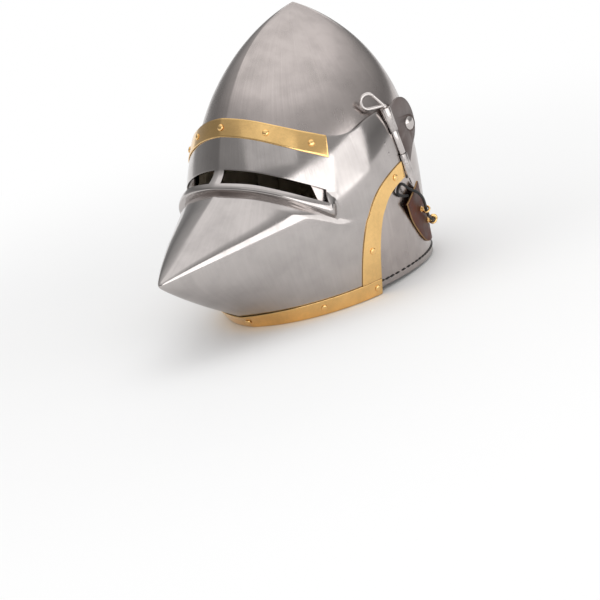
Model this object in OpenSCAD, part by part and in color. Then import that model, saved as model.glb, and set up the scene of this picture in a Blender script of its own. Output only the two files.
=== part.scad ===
// Visored bascinet: a steel skull with a pointed-snout visor on side hinges.
// Millimetres. The front of the helmet is -Y, the wearer's left is +X, up is +Z.
// The helmet stands on the chin strip and on the rear of the skull's rim, at Z = 0.

/* [Skull] */
// Outside width of the skull at its widest
skull_width = 229; // [200:1:250]
// Length of the skull, measured at the rim from the brow line to the nape
skull_length = 279; // [250:1:300]
// Height of the skull from the rear rim to the apex
skull_height = 303; // [270:1:330]
// Thickness of the skull plate
skull_plate = 2; // [1.4:0.1:2.6]
// Height of the face opening at the brow
face_height = 190; // [170:1:196]
// Angle from the front to the side edge of the face opening
face_angle = 54; // [46:1:58]

/* [Visor] */
// Gap from the skull to the outside of the visor, at the cheeks
visor_gap = 7.5; // [7:0.1:10]
// Thickness of the visor plate
visor_plate = 1.6; // [1.2:0.1:2]
// How far the snout stands out from the face of the visor
snout_reach = 104; // [60:1:120]
// Half of the width of the snout where it leaves the visor
snout_half_width = 86; // [70:1:92]
// Height of the snout's tip above the table
snout_tip_height = 92; // [80:1:100]
// How far the snout's side ridges rise from its tip to the cheeks
ridge_rise = 19; // [0:1:24]
// How far the lip below the sights stands out
lip_reach = 9; // [5:0.5:11]
// Half of the width of the bar between the sights, as an angle
bar_angle = 10; // [9:0.5:12]
// Angle from the front to the outer end of each sight
sight_angle = 56; // [44:1:57]

/* [Brass edging] */
// Thickness of the brass strips
strip_plate = 1.1; // [0.8:0.1:1.6]
// Height of the brow strip
brow_strip_height = 17.5; // [12:0.5:20]
// How much taller the brow strip is at its ends
brow_strip_widen = 3.5; // [0:0.5:5]
// Height of the chin strip
chin_strip_height = 17; // [14:0.5:19]
// Angle from the front to the end of the brow strip
brow_strip_angle = 58; // [54:1:62]
// Radius of the rivet heads
rivet_head_radius = 3.6; // [3:0.1:4.4]
// Height of the rivet heads
rivet_head_height = 1.9; // [1.2:0.1:2.4]
// Radius of the rivet shanks
rivet_shank_radius = 1.5; // [1:0.1:1.8]
// Radius of the rivets' hammered inner ends
rivet_peen_radius = 2.4; // [2:0.1:2.8]
// Height of the rivets' hammered inner ends
rivet_peen_height = 0.8; // [0.5:0.1:1.2]

/* [Hinges] */
// Outside radius of the arm's knuckles
knuckle_radius = 5.4; // [4.8:0.1:6]
// Outside radius of the visor's knuckle
leaf_knuckle_radius = 4.3; // [4:0.1:4.8]
// Length of each knuckle
knuckle_length = 26; // [20:0.5:27]
// Space between two knuckles
knuckle_space = 0.4; // [0.2:0.1:1]
// Radius of the hinge pin
pin_radius = 2.1; // [1.6:0.1:2.6]
// How far the pin's point stands below the lowest knuckle
pin_point = 9; // [5:0.5:10]
// Radius of the pin's wire loop, to the middle of the wire
loop_radius = 8; // [6:0.5:9]
// Radius of the wire of the loop
loop_wire = 2; // [1.2:0.1:2.4]
// Turn of the pull loop towards the front, as an angle
loop_turn = 35; // [0:1:40]
// Thickness of the arm
arm_plate = 2.2; // [1.8:0.1:3]
// Radius of the rounded rear of the arm
arm_round = 28; // [24:1:30]
// Radius of the hub round the pivot
hub_radius = 9.5; // [8.5:0.5:11]
// How far the inside of the arm's hub stands off the skull
arm_standoff = 6; // [5.5:0.1:8]
// Radius of the pivot rivet's shank
pivot_radius = 3; // [2.4:0.1:3.6]
// Radius of the pivot rivet's head
pivot_head_radius = 7.4; // [6:0.1:8]
// Height of the pivot rivet's head
pivot_head_height = 2.4; // [1.6:0.1:3]
// Thickness of the visor's leaf
leaf_plate = 1.5; // [1:0.1:1.8]
// Length of the visor's leaf ahead of the hinge
leaf_length = 26; // [20:1:32]

/* [Aventail band] */
// Thickness of the leather
leather = 2; // [1.4:0.1:2.6]
// Radius of the cord
cord_radius = 1.6; // [1.2:0.1:1.8]
// Radius of each vervelle's eye, to the middle of its ring
eye_radius = 3.5; // [3.4:0.1:4]
// Radius of the ring of each vervelle
eye_wire = 1.3; // [1:0.1:1.4]
// Radius of each vervelle's stem
stem_radius = 1.8; // [1.4:0.1:2]

/* [Liner] */
// Thickness of the padded liner at the top of a channel
liner_plate = 8; // [6:0.5:10]
// How much thinner the liner is at the seams
liner_seam = 2.5; // [1:0.5:3]
// Number of channels round the liner
liner_channels = 20; // [12:2:24]
// Radius of the stitching thread
thread_radius = 0.8; // [0.5:0.1:1]
// Number of stitches round the rim
stitch_count = 40; // [24:2:48]

/* [Clearances] */
// Radial clearance of a turning or sliding shaft in its bore
run = 0.08; // [0.05:0.01:0.1]
// Radial clearance of a rivet in its hole
rivet_fit = 0.05; // [0.02:0.01:0.1]
// Gap between two plates that lie on each other
seat = 0.2; // [0.12:0.01:0.3]
// Extra gap under the chin strip, where the visor flares out
chin_flare = 0.3; // [0.2:0.05:0.5]
// Extra gap under the leather band, which lies on the curved skull
band_ease = 0.35; // [0.25:0.05:0.5]
// Gap between faces that move past each other
pass = 0.3; // [0.2:0.05:0.5]

/* [Hidden] */
$fn = 48;

// The curves below are drawn for a skull of 229 x 279 x 303 mm, and are scaled from that.
kx = skull_width / 229;
ky = skull_length / 279;
kz = skull_height / 303;
scale_xyz = [kx, ky, kz];

// Level sections of the skull, from the rim up to the apex: control values of smooth curves.
skull_z = [4.3, 72, 157, 242, 294, 303];
brow_y = [-91, -98, -85, -52, 9, 105];
nape_y = [188, 176, 197, 183, 113, 105];
side_y = [50, 22, 50, 112, 112, 105];
half_w = [99, 109, 140, 113, 21, 0];
// The rim falls a little to the rear, so that it meets the table there.
rim_mid_y = 46;
rim_fall = 4 / (nape_y[0] - rim_mid_y);
front_keel = 0.14;
back_keel = 0.1;
back_square = 0.84;

// Level sections of the visor, from the brow edge down to the chin edge.
visor_top = 222;
face_y = [-46, -86, -124, -77];
cheek_y = [93, 57, 24, 50];
visor_w = [94, 143, 116, 105];
rear_reach = 230;
// Heights of the visor's lines at every 12.5 degrees from the front.
line_step = 12.5;
brow_line = [222, 220, 214, 203.5, 191, 179.5, 179, 184, 186, 186];
sight_line = [174, 171.5, 165.3, 154.3, 140, 124, 116, 113, 112.5, 112.5];
lip_line = [162.5, 161, 155.5, 143.5, 128, 112, 105, 103, 102.5, 102.5];
fold_line = [155, 152.5, 146, 134, 116, 97, 90, 89, 89, 89];

// Small sums used by the curves.
function quad(c, t) = let(u = 1 - t)
  u*u*u*c[0] + 3*u*u*t*c[1] + 3*u*t*t*c[2] + t*t*t*c[3];
function quint(c, t) = let(u = 1 - t)
  u^5*c[0] + 5*u^4*t*c[1] + 10*u^3*t^2*c[2] + 10*u^2*t^3*c[3] + 5*u*t^4*c[4] + t^5*c[5];
function clamp(x, lo, hi) = min(max(x, lo), hi);
function smooth(x) = let(t = clamp(x, 0, 1)) t*t*(3 - 2*t);
function unit(p) = p / norm(p);
function mirror_x(p) = [-p[0], p[1], p[2]];
// A smooth curve through the points of a list, t from 0 to 1.
function through(c, t) = let(n = len(c) - 1, x = clamp(t, 0, 1)*n, i = min(floor(x), n - 1), f = x - i,
  p0 = c[max(i - 1, 0)], p1 = c[i], p2 = c[i + 1], p3 = c[min(i + 2, n)])
  0.5*(2*p1 + (p2 - p0)*f + (2*p0 - 5*p1 + 4*p2 - p3)*f*f + (3*p1 - p0 - 3*p2 + p3)*f*f*f);
function line_z(c, a) = through(c, a / (line_step*(len(c) - 1)));

// A point on the outside of the skull: a is 0 at the front, 180 at the nape; v is 0 at the rim, 1 at the apex.
function skull_pt(a, v) = let(
  front = a <= 90, q = front ? front_keel : back_keel, e = front ? 1 : back_square,
  p0 = asin(q / (1 + q)), ph = p0 + (90 - p0)*(front ? a / 90 : (180 - a) / 90),
  s0 = sin(p0)^e, s = (sin(ph)^e - s0) / (1 - s0), c = max(0, cos(ph) / cos(p0))^e,
  y0 = quint(side_y, v), y = y0 + (quint(front ? brow_y : nape_y, v) - y0)*c)
  [quint(half_w, v)*s*kx, y*ky, (quint(skull_z, v) - rim_fall*(y - rim_mid_y)*(1 - v)^2)*kz];
function skull_normal(a, v) = let(
  a0 = max(a - 0.5, 0.02), a1 = min(a + 0.5, 179.98), v0 = max(v - 0.004, 0), v1 = min(v + 0.004, 0.999),
  n = unit(cross(skull_pt(a1, v) - skull_pt(a0, v), skull_pt(a, v1) - skull_pt(a, v0))))
  a < 0.6 || a > 179.4 ? unit([0, n[1], n[2]]) : n;
// A point at height h above the skull's outside, below it where h is less than 0.
function on_skull(a, v, h) = skull_pt(a, v) + skull_normal(a, v)*h;
// The half width of the skull at a place behind its widest line, found by halving.
function find_v(y, z, lo = 0, hi = 1, n = 22) = let(v = (lo + hi) / 2,
  zz = (quint(skull_z, v) - rim_fall*(y / ky - rim_mid_y)*(1 - v)^2)*kz)
  n == 0 ? v : zz < z ? find_v(y, z, v, hi, n - 1) : find_v(y, z, lo, v, n - 1);
function skull_x(y, z) = let(v = find_v(y, z), y0 = quint(side_y, v), p0 = asin(back_keel / (1 + back_keel)),
  c = (y / ky - y0) / (quint(nape_y, v) - y0), ph = acos(clamp(c, 0, 1)^(1 / back_square)*cos(p0)),
  s0 = sin(p0)^back_square)
  quint(half_w, v)*(sin(ph)^back_square - s0) / (1 - s0)*kx;

// Side values of the visor at a height z, in drawing units.
function vis_u(z) = clamp((visor_top - z) / visor_top, -0.1, 1.05);
keel_angle = asin(front_keel / (1 + front_keel));
gap_x = visor_gap - 7.5;
// How far out the lip below the sights stands at an angle and a height.
function lip_out(a, z) = let(t = line_z(sight_line, a), m = line_z(lip_line, a), b = line_z(fold_line, a),
  up = clamp((t - z) / (t - m), 0, 1), dn = clamp((m - z) / (m - b), 0, 1.4),
  h = z > m ? 0.8*up*up : dn < 1 ? 0.8 + 0.2*sin(180*min(dn, 0.5)) - 0.8*max(0, dn - 0.55)^2 / 0.2
    : 0.05*smooth((1.4 - dn) / 0.4))
  lip_reach*max(h, 0)*smooth((sight_angle + 5 - a) / 4);
// How far forward the snout stands. Its side ridges rise from the tip to the cheeks.
function snout_out(a, z, x) = let(fx = x / (snout_half_width / kx), side = min(fx, 1), tip = snout_tip_height / kz,
  zc = tip + ridge_rise / kz*side, top = (line_z(fold_line, keel_angle) - tip)*(1 - 0.3*side), low = zc - 14,
  fz = z > zc ? (z - zc) / top : (zc - z) / low,
  rho = sqrt(fx*fx + fz*fz + (z > zc ? 0.45 : 0.13)*fx*fz*fz / (fz + 0.4) + 0.0009),
  soft = 0.05 + 0.14*smooth(fx) + (z > zc ? 0 : 0.04*smooth(fz / 0.4)),
  g = 0.5*((1 - rho) + sqrt((1 - rho)^2 + soft*soft)), g0 = 0.5*(soft*soft) / (rho + 0.3),
  fade = smooth((line_z(fold_line, a) + 2 - z) / 7))
  snout_reach*max(0, g - (rho > 1 ? g0*smooth((rho - 1) / 0.4) : 0))*fade;
// A point on the outside of the visor at an angle from the front and a height in drawing units.
function visor_pt(a, z) = let(u = vis_u(z), w = quad(visor_w, u), ym = quad(face_y, u), yw = quad(cheek_y, u),
  front = a <= 90, x = front ? w*((1 + front_keel)*sin(a) - front_keel) : w*sin(a),
  y = front ? yw + (ym - yw)*cos(a) / cos(keel_angle) : yw - rear_reach*cos(a),
  out = unit([(yw - ym)*sin(a), -w*(1 + front_keel)*cos(a), 0]), lip = front ? lip_out(a, z) : 0)
  [x*kx, y*ky, z*kz] + out*(lip + gap_x) - [0, snout_out(a, z, x), 0];
function visor_normal(a, z) = let(
  a0 = max(a - 0.4, keel_angle), a1 = a + 0.4,
  n = unit(cross(visor_pt(a1, z) - visor_pt(a0, z), visor_pt(a, z + 0.4) - visor_pt(a, z - 0.4))))
  a < keel_angle + 0.1 ? unit([0, n[1], n[2]]) : n;
function on_visor(a, z, h) = visor_pt(a, z) + visor_normal(a, z)*h;
// The visor's angle at a place given by y and z, in drawing units.
function visor_angle(y, z) = let(u = vis_u(z), ym = quad(face_y, u), yw = quad(cheek_y, u))
  y < yw ? acos(clamp((yw - y) / (yw - ym)*cos(keel_angle), -1, 1)) : 90 + asin(clamp((y - yw) / rear_reach, 0, 1));

// The hinge's axis, from the low end to the high end, at the left side.
hinge_out = gap_x + (knuckle_radius - 5.4);
hinge_low = [123*kx + hinge_out, 80.5*ky, 108.6*kz];
hinge_high = [117.5*kx + hinge_out, 73.4*ky, 186.6*kz];
hinge_dir = unit(hinge_high - hinge_low);
hinge_len = 3*knuckle_length + 2*knuckle_space;
hinge_mid = (hinge_low + hinge_high) / 2;
hinge_foot = hinge_mid - hinge_dir*hinge_len / 2;
function hinge_y(z) = (hinge_mid[1] + (z*kz - hinge_mid[2])*hinge_dir[1] / hinge_dir[2]) / ky;

// The rear edge of the visor and the front edge of the cheek strip, as y at a height z.
corner_z = 110.5;
edge_clear = (knuckle_radius + 1.6) / ky;
strip_top_z = 128;
function cheek_rear(z) = let(p = clamp(z / corner_z, 0, 1))
  17 + 30*p^3.5 + (hinge_y(corner_z) - edge_clear - 47)*p^20;
function visor_rear(z) = z > corner_z ? hinge_y(z) - edge_clear : cheek_rear(z);
function cheek_front(z) = let(p = clamp(z / strip_top_z, 0, 1))
  -7 + 45*p^3 + (hinge_y(strip_top_z) - edge_clear - 38)*p^14;

// The pivot on the left side of the skull.
pivot_y = 111*ky;
pivot_z = 158*kz;
pivot_x = skull_x(pivot_y, pivot_z);
hub_in = pivot_x + arm_standoff;
hub_out = hub_in + arm_plate + 1;
arm_in = hub_in + 0.4;
arm_tilt = atan((hinge_mid[0] - 1.2 - arm_in) / (pivot_y - hinge_mid[1]));
// The skull's slope at the pivot.
slope_y = (skull_x(pivot_y + 1, pivot_z) - skull_x(pivot_y - 1, pivot_z)) / 2;
slope_z = (skull_x(pivot_y, pivot_z + 1) - skull_x(pivot_y, pivot_z - 1)) / 2;
pivot_normal = unit([1, -slope_y, -slope_z]);

// A thin closed plate between two grids of points, which may be a ring and may have cells left out.
module plate(over, under, ring = false, cut = [0, 0, 0, 0, 0, 0], cap = []) {
  // A ring runs the other way round, so its columns are taken in reverse.
  outer = ring ? [for (r = over) [for (j = [len(r) - 1:-1:0]) r[j]]] : over;
  inner = ring ? [for (r = under) [for (j = [len(r) - 1:-1:0]) r[j]]] : under;
  nr = len(outer);
  nc = len(outer[0]);
  n = nr*nc;
  points = concat([for (r = outer) for (p = r) p], [for (r = inner) for (p = r) p], cap);
  last = ring ? nc : nc - 1;
  function id(i, j) = i*nc + j % nc;
  function kept(i, j) = i >= 0 && i < nr - 1 && (ring || (j >= 0 && j < last))
    && !(i >= cut[0] && i < cut[1] && ((j >= cut[2] && j < cut[3]) || (j >= cut[4] && j < cut[5])));
  // Each four-sided patch is split along its shorter diagonal.
  function quad_of(a, b, c, d) = norm(points[a] - points[c]) <= norm(points[b] - points[d])
    ? [[a, b, c], [a, c, d]] : [[a, b, d], [b, c, d]];
  faces = concat(
    [for (i = [0:nr - 2]) for (j = [0:last - 1]) if (kept(i, j))
      each quad_of(id(i, j), id(i, j + 1), id(i + 1, j + 1), id(i + 1, j))],
    [for (i = [0:nr - 2]) for (j = [0:last - 1]) if (kept(i, j))
      each quad_of(n + id(i, j), n + id(i + 1, j), n + id(i + 1, j + 1), n + id(i, j + 1))],
    [for (i = [0:nr - 2]) for (j = [0:last - 1]) if (kept(i, j)) each concat(
      kept(i - 1, j) ? [] : quad_of(id(i, j + 1), id(i, j), n + id(i, j), n + id(i, j + 1)),
      kept(i + 1, j) || (len(cap) > 0 && i == nr - 2) ? []
        : quad_of(id(i + 1, j), id(i + 1, j + 1), n + id(i + 1, j + 1), n + id(i + 1, j)),
      kept(i, j - 1) ? [] : quad_of(id(i, j), id(i + 1, j), n + id(i + 1, j), n + id(i, j)),
      kept(i, j + 1) ? [] : quad_of(id(i + 1, j + 1), id(i, j + 1), n + id(i, j + 1), n + id(i + 1, j + 1)))],
    len(cap) == 0 ? [] : [for (j = [0:last - 1]) each [
      [id(nr - 1, j), id(nr - 1, j + 1), 2*n],
      [n + id(nr - 1, j + 1), n + id(nr - 1, j), 2*n + 1]]]);
  polyhedron(points, faces, convexity = 8);
}

// A round tube through a list of points, with its own frame at each point.
module tube(path, radius, sides = 6) {
  n = len(path);
  dirs = [for (i = [0:n - 1]) unit(path[min(i + 1, n - 1)] - path[max(i - 1, 0)])];
  rings = [for (i = [0:n - 1]) let(d = dirs[i], s = unit(cross(d, abs(d[2]) < 0.9 ? [0, 0, 1] : [1, 0, 0])),
    t = cross(s, d)) [for (k = [0:sides - 1]) path[i] + radius*(s*cos(360*k / sides) + t*sin(360*k / sides))]];
  points = concat([for (r = rings) each r], [path[0], path[n - 1]]);
  faces = concat(
    [for (i = [0:n - 2]) for (k = [0:sides - 1]) let(m = (k + 1) % sides) each
      [[i*sides + k, i*sides + m, (i + 1)*sides + m], [i*sides + k, (i + 1)*sides + m, (i + 1)*sides + k]]],
    [for (k = [0:sides - 1]) let(m = (k + 1) % sides) each
      [[n*sides, m, k], [n*sides + 1, (n - 1)*sides + k, (n - 1)*sides + m]]]);
  polyhedron(points, faces, convexity = 10);
}

// Stands what follows at a point, with its Z along a direction and its Y near another.
module stand(p, z, y = [0, 0, 1]) {
  zz = unit(z);
  xx = unit(cross(y, zz));
  yy = cross(zz, xx);
  multmatrix([[xx[0], yy[0], zz[0], p[0]], [xx[1], yy[1], zz[1], p[1]], [xx[2], yy[2], zz[2], p[2]], [0, 0, 0, 1]])
    children();
}

// The left side as drawn, or its mirror image.
module side(left) {
  if (left) children();
  else mirror([1, 0, 0]) children();
}

// A low dome on the level Z = 0.
module dome(radius, height) {
  ball = (radius*radius + height*height) / (2*height);
  intersection() {
    cylinder(r = radius, h = height);
    translate([0, 0, height - ball]) sphere(r = ball);
  }
}

// Skull.
face_steps = 12;
side_steps = 20;
skull_rows = 16;
face_v = find_v(-62*ky, face_height*kz);
function face_col(j) = let(t = 90*(1 - cos(90*j / face_steps))) [face_angle*sin(t)^0.66, face_v*max(cos(t), 0)^0.66];
skull_cols = concat([for (j = [0:face_steps]) face_col(j)],
  [for (j = [1:side_steps]) [face_angle + (180 - face_angle)*j / side_steps, 0]]);
// Below this mark the rows fan out to the face opening, above it they are the same in every column.
row_mark = face_v + 0.08;
face_rows = 9;
function row_v(i, v0) = i <= face_rows ? v0 + (row_mark - v0)*i / face_rows
  : row_mark + (0.95 - row_mark)*(i - face_rows) / (skull_rows - face_rows);
function skull_grid(h) = let(half = [for (i = [0:skull_rows]) [for (c = skull_cols) on_skull(c[0], row_v(i, c[1]), h)]],
  n = len(skull_cols))
  [for (r = half) concat([for (j = [0:n - 1]) r[j]], [for (j = [n - 2:-1:1]) mirror_x(r[j])])];
module skull() {
  apex = skull_pt(90, 1);
  color("LightSteelBlue") difference() {
    plate(skull_grid(0), skull_grid(-skull_plate), ring = true, cap = [apex, apex - [0, 0, 2*skull_plate]]);
    for (left = [true, false]) side(left) pivot_bore(pivot_radius + rivet_fit);
  }
}

// The pivot's bore, from inside the skull to outside the rivet's head.
module pivot_bore(radius) {
  translate([pivot_x - 20, pivot_y, pivot_z]) rotate([0, 90, 0]) cylinder(r = radius, h = 50);
}

// Visor.
fixed_cols = [keel_angle, bar_angle, 15, 20, 25, 30, 35, 40, 44, 48, 52, sight_angle, sight_angle + 2.5,
  sight_angle + 5, sight_angle + 7.5];
free_cols = 6;
top_rows = 9;
sight_rows = 4;
lip_rows = 7;
snout_rows = 19;
sight_first = 1;
sight_last = 11;
chin_edge = 0.7;
function visor_row_z(i, a) =
  i <= top_rows ? let(t = i / top_rows) line_z(brow_line, a)*(1 - t) + line_z(sight_line, a)*t
  : i <= top_rows + sight_rows ? let(t = (i - top_rows) / sight_rows)
    line_z(sight_line, a)*(1 - t) + line_z(lip_line, a)*t
  : i <= top_rows + sight_rows + lip_rows ? let(t = (i - top_rows - sight_rows) / lip_rows)
    line_z(lip_line, a)*(1 - t) + line_z(fold_line, a)*t
  : let(t = (i - top_rows - sight_rows - lip_rows) / snout_rows)
    line_z(fold_line, a)*(1 - t) + chin_edge*t;
visor_rows = top_rows + sight_rows + lip_rows + snout_rows;
function visor_end(i) = let(z = visor_row_z(i, 98)) visor_angle(visor_rear(z), z);
function visor_col_a(i, j) = let(n = len(fixed_cols) - 1)
  j <= n ? fixed_cols[j] : fixed_cols[n] + (visor_end(i) - fixed_cols[n])*(j - n) / free_cols;
// Behind the sights the rows run to their places on the rear edge.
function visor_cell(i, j) = let(a = visor_col_a(i, j), e = visor_end(i), f = fixed_cols[len(fixed_cols) - 1],
  b = a <= f ? a : f + (98 - f)*(a - f) / (e - f)) [a, visor_row_z(i, b)];
visor_half = len(fixed_cols) - 1 + free_cols;
function visor_grid(h) = let(half = [for (i = [0:visor_rows]) [for (j = [0:visor_half]) let(c = visor_cell(i, j))
  on_visor(c[0], c[1], h)]])
  [for (r = half) concat([for (j = [visor_half:-1:1]) mirror_x(r[j])], [for (j = [0:visor_half]) r[j]])];
module visor() {
  color("Silver") difference() {
    plate(visor_grid(0), visor_grid(-visor_plate),
      cut = [top_rows, top_rows + sight_rows, visor_half - sight_last, visor_half - sight_first,
        visor_half + sight_first, visor_half + sight_last]);
    strip_holes();
    for (left = [true, false]) side(left) leaf_holes();
  }
}

// Brass strips on the visor: a grid of angles and heights, laid on at the seat's gap.
function strip_grid(cells, h) = [for (r = cells) [for (c = r) on_visor(c[0], c[1], h)]];
function both_sides(g) = [for (r = g) concat([for (j = [len(r) - 1:-1:1]) mirror_x(r[j])], r)];
function brow_drop(a) = brow_strip_height + brow_strip_widen*((a - keel_angle) / (brow_strip_angle - keel_angle))^2;
brow_cells = [for (i = [0:4]) [for (j = [0:16]) let(a = keel_angle + (brow_strip_angle - keel_angle)*j / 16)
  [a, line_z(brow_line, a) - 0.3 - brow_drop(a)*i / 4]]];
module brow_strip() {
  color("Goldenrod") difference() {
    plate(both_sides(strip_grid(brow_cells, seat + strip_plate)), both_sides(strip_grid(brow_cells, seat)));
    strip_holes();
  }
}
chin_cells = [for (i = [0:4]) [for (j = [0:20]) let(z = chin_edge + 0.3 + chin_strip_height*(1 - i / 4),
  e = visor_angle(visor_rear(z), z)) [keel_angle + (e - keel_angle)*j / 20, z]]];
module chin_strip() {
  color("Goldenrod") difference() {
    plate(both_sides(strip_grid(chin_cells, seat + chin_flare + strip_plate)),
      both_sides(strip_grid(chin_cells, seat + chin_flare)));
    strip_holes();
  }
}
cheek_low = chin_edge + 0.6 + chin_strip_height;
cheek_cells = [for (i = [0:20]) let(t = (i / 20)^2, ze = cheek_low + (corner_z - cheek_low)*(1 - t),
  zi = cheek_low + (strip_top_z - cheek_low)*(1 - t))
  [for (j = [0:4]) let(f = j / 4, z = zi*(1 - f) + ze*f, y = cheek_front(zi)*(1 - f) + visor_rear(ze)*f)
    [visor_angle(y, z), z]]];
module cheek_strip() {
  color("Goldenrod") difference() {
    plate(strip_grid(cheek_cells, seat + strip_plate), strip_grid(cheek_cells, seat));
    strip_holes();
  }
}
module left_cheek_strip() side(true) cheek_strip();
module right_cheek_strip() side(false) cheek_strip();

// Rivets of the strips: their places as an angle and a height.
function brow_spot(a) = [a, line_z(brow_line, a) - 0.3 - brow_drop(a) / 2];
chin_spot_z = chin_edge + 0.3 + chin_strip_height / 2;
side_brow_spots = [brow_spot(31), brow_spot(51)];
mid_spots = [brow_spot(keel_angle), [keel_angle, chin_spot_z]];
side_chin_spots = [[46, chin_spot_z], [74, chin_spot_z]];
cheek_spots = [[visor_angle(56, 115.5), 115.5], [visor_angle(8, 52), 52]];
module at_spot(c) {
  stand(visor_pt(c[0], c[1]), visor_normal(c[0], c[1])) children();
}
// The fold of the keel lies under a rivet on the middle line, which sits higher there.
fold_rise = 0.45;
module rivet(mid = false, flare = 0) {
  rise = mid ? fold_rise : 0;
  head = seat + flare + strip_plate + 0.1 + (mid ? 0.1 : 0);
  foot = -visor_plate - 0.25 - rise;
  translate([0, 0, head]) dome(rivet_head_radius, rivet_head_height);
  translate([0, 0, foot - rivet_peen_height / 2]) cylinder(r = rivet_shank_radius, h = head - foot + rivet_peen_height / 2 + 0.2);
  translate([0, 0, foot - rivet_peen_height]) cylinder(r = rivet_peen_radius, h = rivet_peen_height);
}
module rivet_hole() {
  translate([0, 0, -8]) cylinder(r = rivet_shank_radius + rivet_fit, h = 14);
}
module strip_holes() {
  for (c = mid_spots) at_spot(c) rivet_hole();
  for (left = [true, false]) side(left) for (c = concat(side_brow_spots, side_chin_spots, cheek_spots)) at_spot(c) rivet_hole();
}
module brow_strip_rivets() {
  color("Gold") {
    at_spot(mid_spots[0]) rivet(true);
    for (left = [true, false]) side(left) for (c = side_brow_spots) at_spot(c) rivet();
  }
}
module chin_strip_rivets() {
  color("Gold") {
    at_spot(mid_spots[1]) rivet(true, chin_flare);
    for (left = [true, false]) side(left) for (c = side_chin_spots) at_spot(c) rivet(false, chin_flare);
  }
}
module cheek_rivets() {
  color("Gold") for (c = cheek_spots) at_spot(c) rivet();
}
module left_cheek_rivets() side(true) cheek_rivets();
module right_cheek_rivets() side(false) cheek_rivets();

// Hinges. Heights along the hinge are measured from its foot.
module on_hinge(h) {
  stand(hinge_foot + hinge_dir*h, hinge_dir, [1, 0, 0]) children();
}
knuckle_pitch = knuckle_length + knuckle_space;
module pin_bore() {
  on_hinge(-5) cylinder(r = pin_radius + run, h = hinge_len + 10);
}
// The arm's outline, seen from the side, with the pivot at the origin.
arm_shift = [-14, 4];
module arm_outline() {
  low = [(hinge_low[1] - pivot_y) / cos(arm_tilt), hinge_foot[2] - pivot_z];
  high = [(hinge_high[1] - pivot_y) / cos(arm_tilt), hinge_foot[2] + hinge_len*hinge_dir[2] - pivot_z];
  intersection() {
    union() {
      translate(arm_shift) circle(r = arm_round);
      polygon([low, high, arm_shift + [0, arm_round], arm_shift + [arm_round*0.9, -arm_round*0.43]]);
    }
    polygon([low - [0, 30], low + [90, -30], high + [90, 30], high + [0, 30], high, low]);
  }
}
module hinge_arm() {
  color("SlateGray") difference() {
    union() {
      translate([arm_in, pivot_y, pivot_z]) rotate([0, 0, arm_tilt]) rotate([90, 0, 90])
        linear_extrude(height = arm_plate) arm_outline();
      on_hinge(0) cylinder(r = knuckle_radius, h = knuckle_length);
      on_hinge(2*knuckle_pitch) cylinder(r = knuckle_radius, h = knuckle_length);
      translate([hub_in, pivot_y, pivot_z]) rotate([0, 90, 0]) cylinder(r = hub_radius, h = hub_out - hub_in);
    }
    on_hinge(knuckle_length) cylinder(r = knuckle_radius + 0.8, h = knuckle_length + 2*knuckle_space);
    pin_bore();
    pivot_bore(pivot_radius + run);
    // The arm is hammered flat round the pivot, under the rivet's head and over the washer.
    translate([hub_out, pivot_y, pivot_z]) rotate([0, 90, 0]) cylinder(r = pivot_head_radius + 1, h = 20);
    translate([hub_in - 20, pivot_y, pivot_z]) rotate([0, 90, 0]) cylinder(r = hub_radius, h = 20);
  }
}
module left_hinge_arm() side(true) hinge_arm();
module right_hinge_arm() side(false) hinge_arm();

// The visor's leaf lies inside the visor and carries the knuckle between the arm's two.
leaf_margin = 1.5;
leaf_low = (hinge_foot[2] + (knuckle_pitch + leaf_margin)*hinge_dir[2]) / kz;
leaf_high = (hinge_foot[2] + (knuckle_pitch + knuckle_length - leaf_margin)*hinge_dir[2]) / kz;
leaf_cells = [for (i = [0:5]) let(z = leaf_high + (leaf_low - leaf_high)*i / 5) [for (j = [0:8])
  let(y = hinge_y(z) - leaf_length / ky + (leaf_length - pin_radius - 1) / ky*j / 8) [visor_angle(y, z), z]]];
module visor_leaf() {
  color("LightSlateGray") difference() {
    union() {
      plate(strip_grid(leaf_cells, -visor_plate - seat), strip_grid(leaf_cells, -visor_plate - seat - leaf_plate));
      on_hinge(knuckle_pitch) cylinder(r = leaf_knuckle_radius, h = knuckle_length);
    }
    pin_bore();
    leaf_holes();
  }
}
module left_visor_leaf() side(true) visor_leaf();
module right_visor_leaf() side(false) visor_leaf();

// The leaf's rivets are filed flush with the outside of the visor.
leaf_spots = [for (f = [0.25, 0.75]) let(z = leaf_low + (leaf_high - leaf_low)*f,
  y = hinge_y(z) - (leaf_length - 6) / ky) [visor_angle(y, z), z]];
module leaf_holes() {
  for (c = leaf_spots) at_spot(c) rivet_hole();
}
module leaf_rivets() {
  foot = -visor_plate - seat - leaf_plate - 0.15;
  color("LightSlateGray") for (c = leaf_spots) at_spot(c) {
    translate([0, 0, foot - 0.3]) cylinder(r = rivet_shank_radius, h = 0.3 - foot);
    translate([0, 0, foot - rivet_peen_height]) cylinder(r = rivet_peen_radius, h = rivet_peen_height);
  }
}
module left_leaf_rivets() side(true) leaf_rivets();
module right_leaf_rivets() side(false) leaf_rivets();

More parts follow.
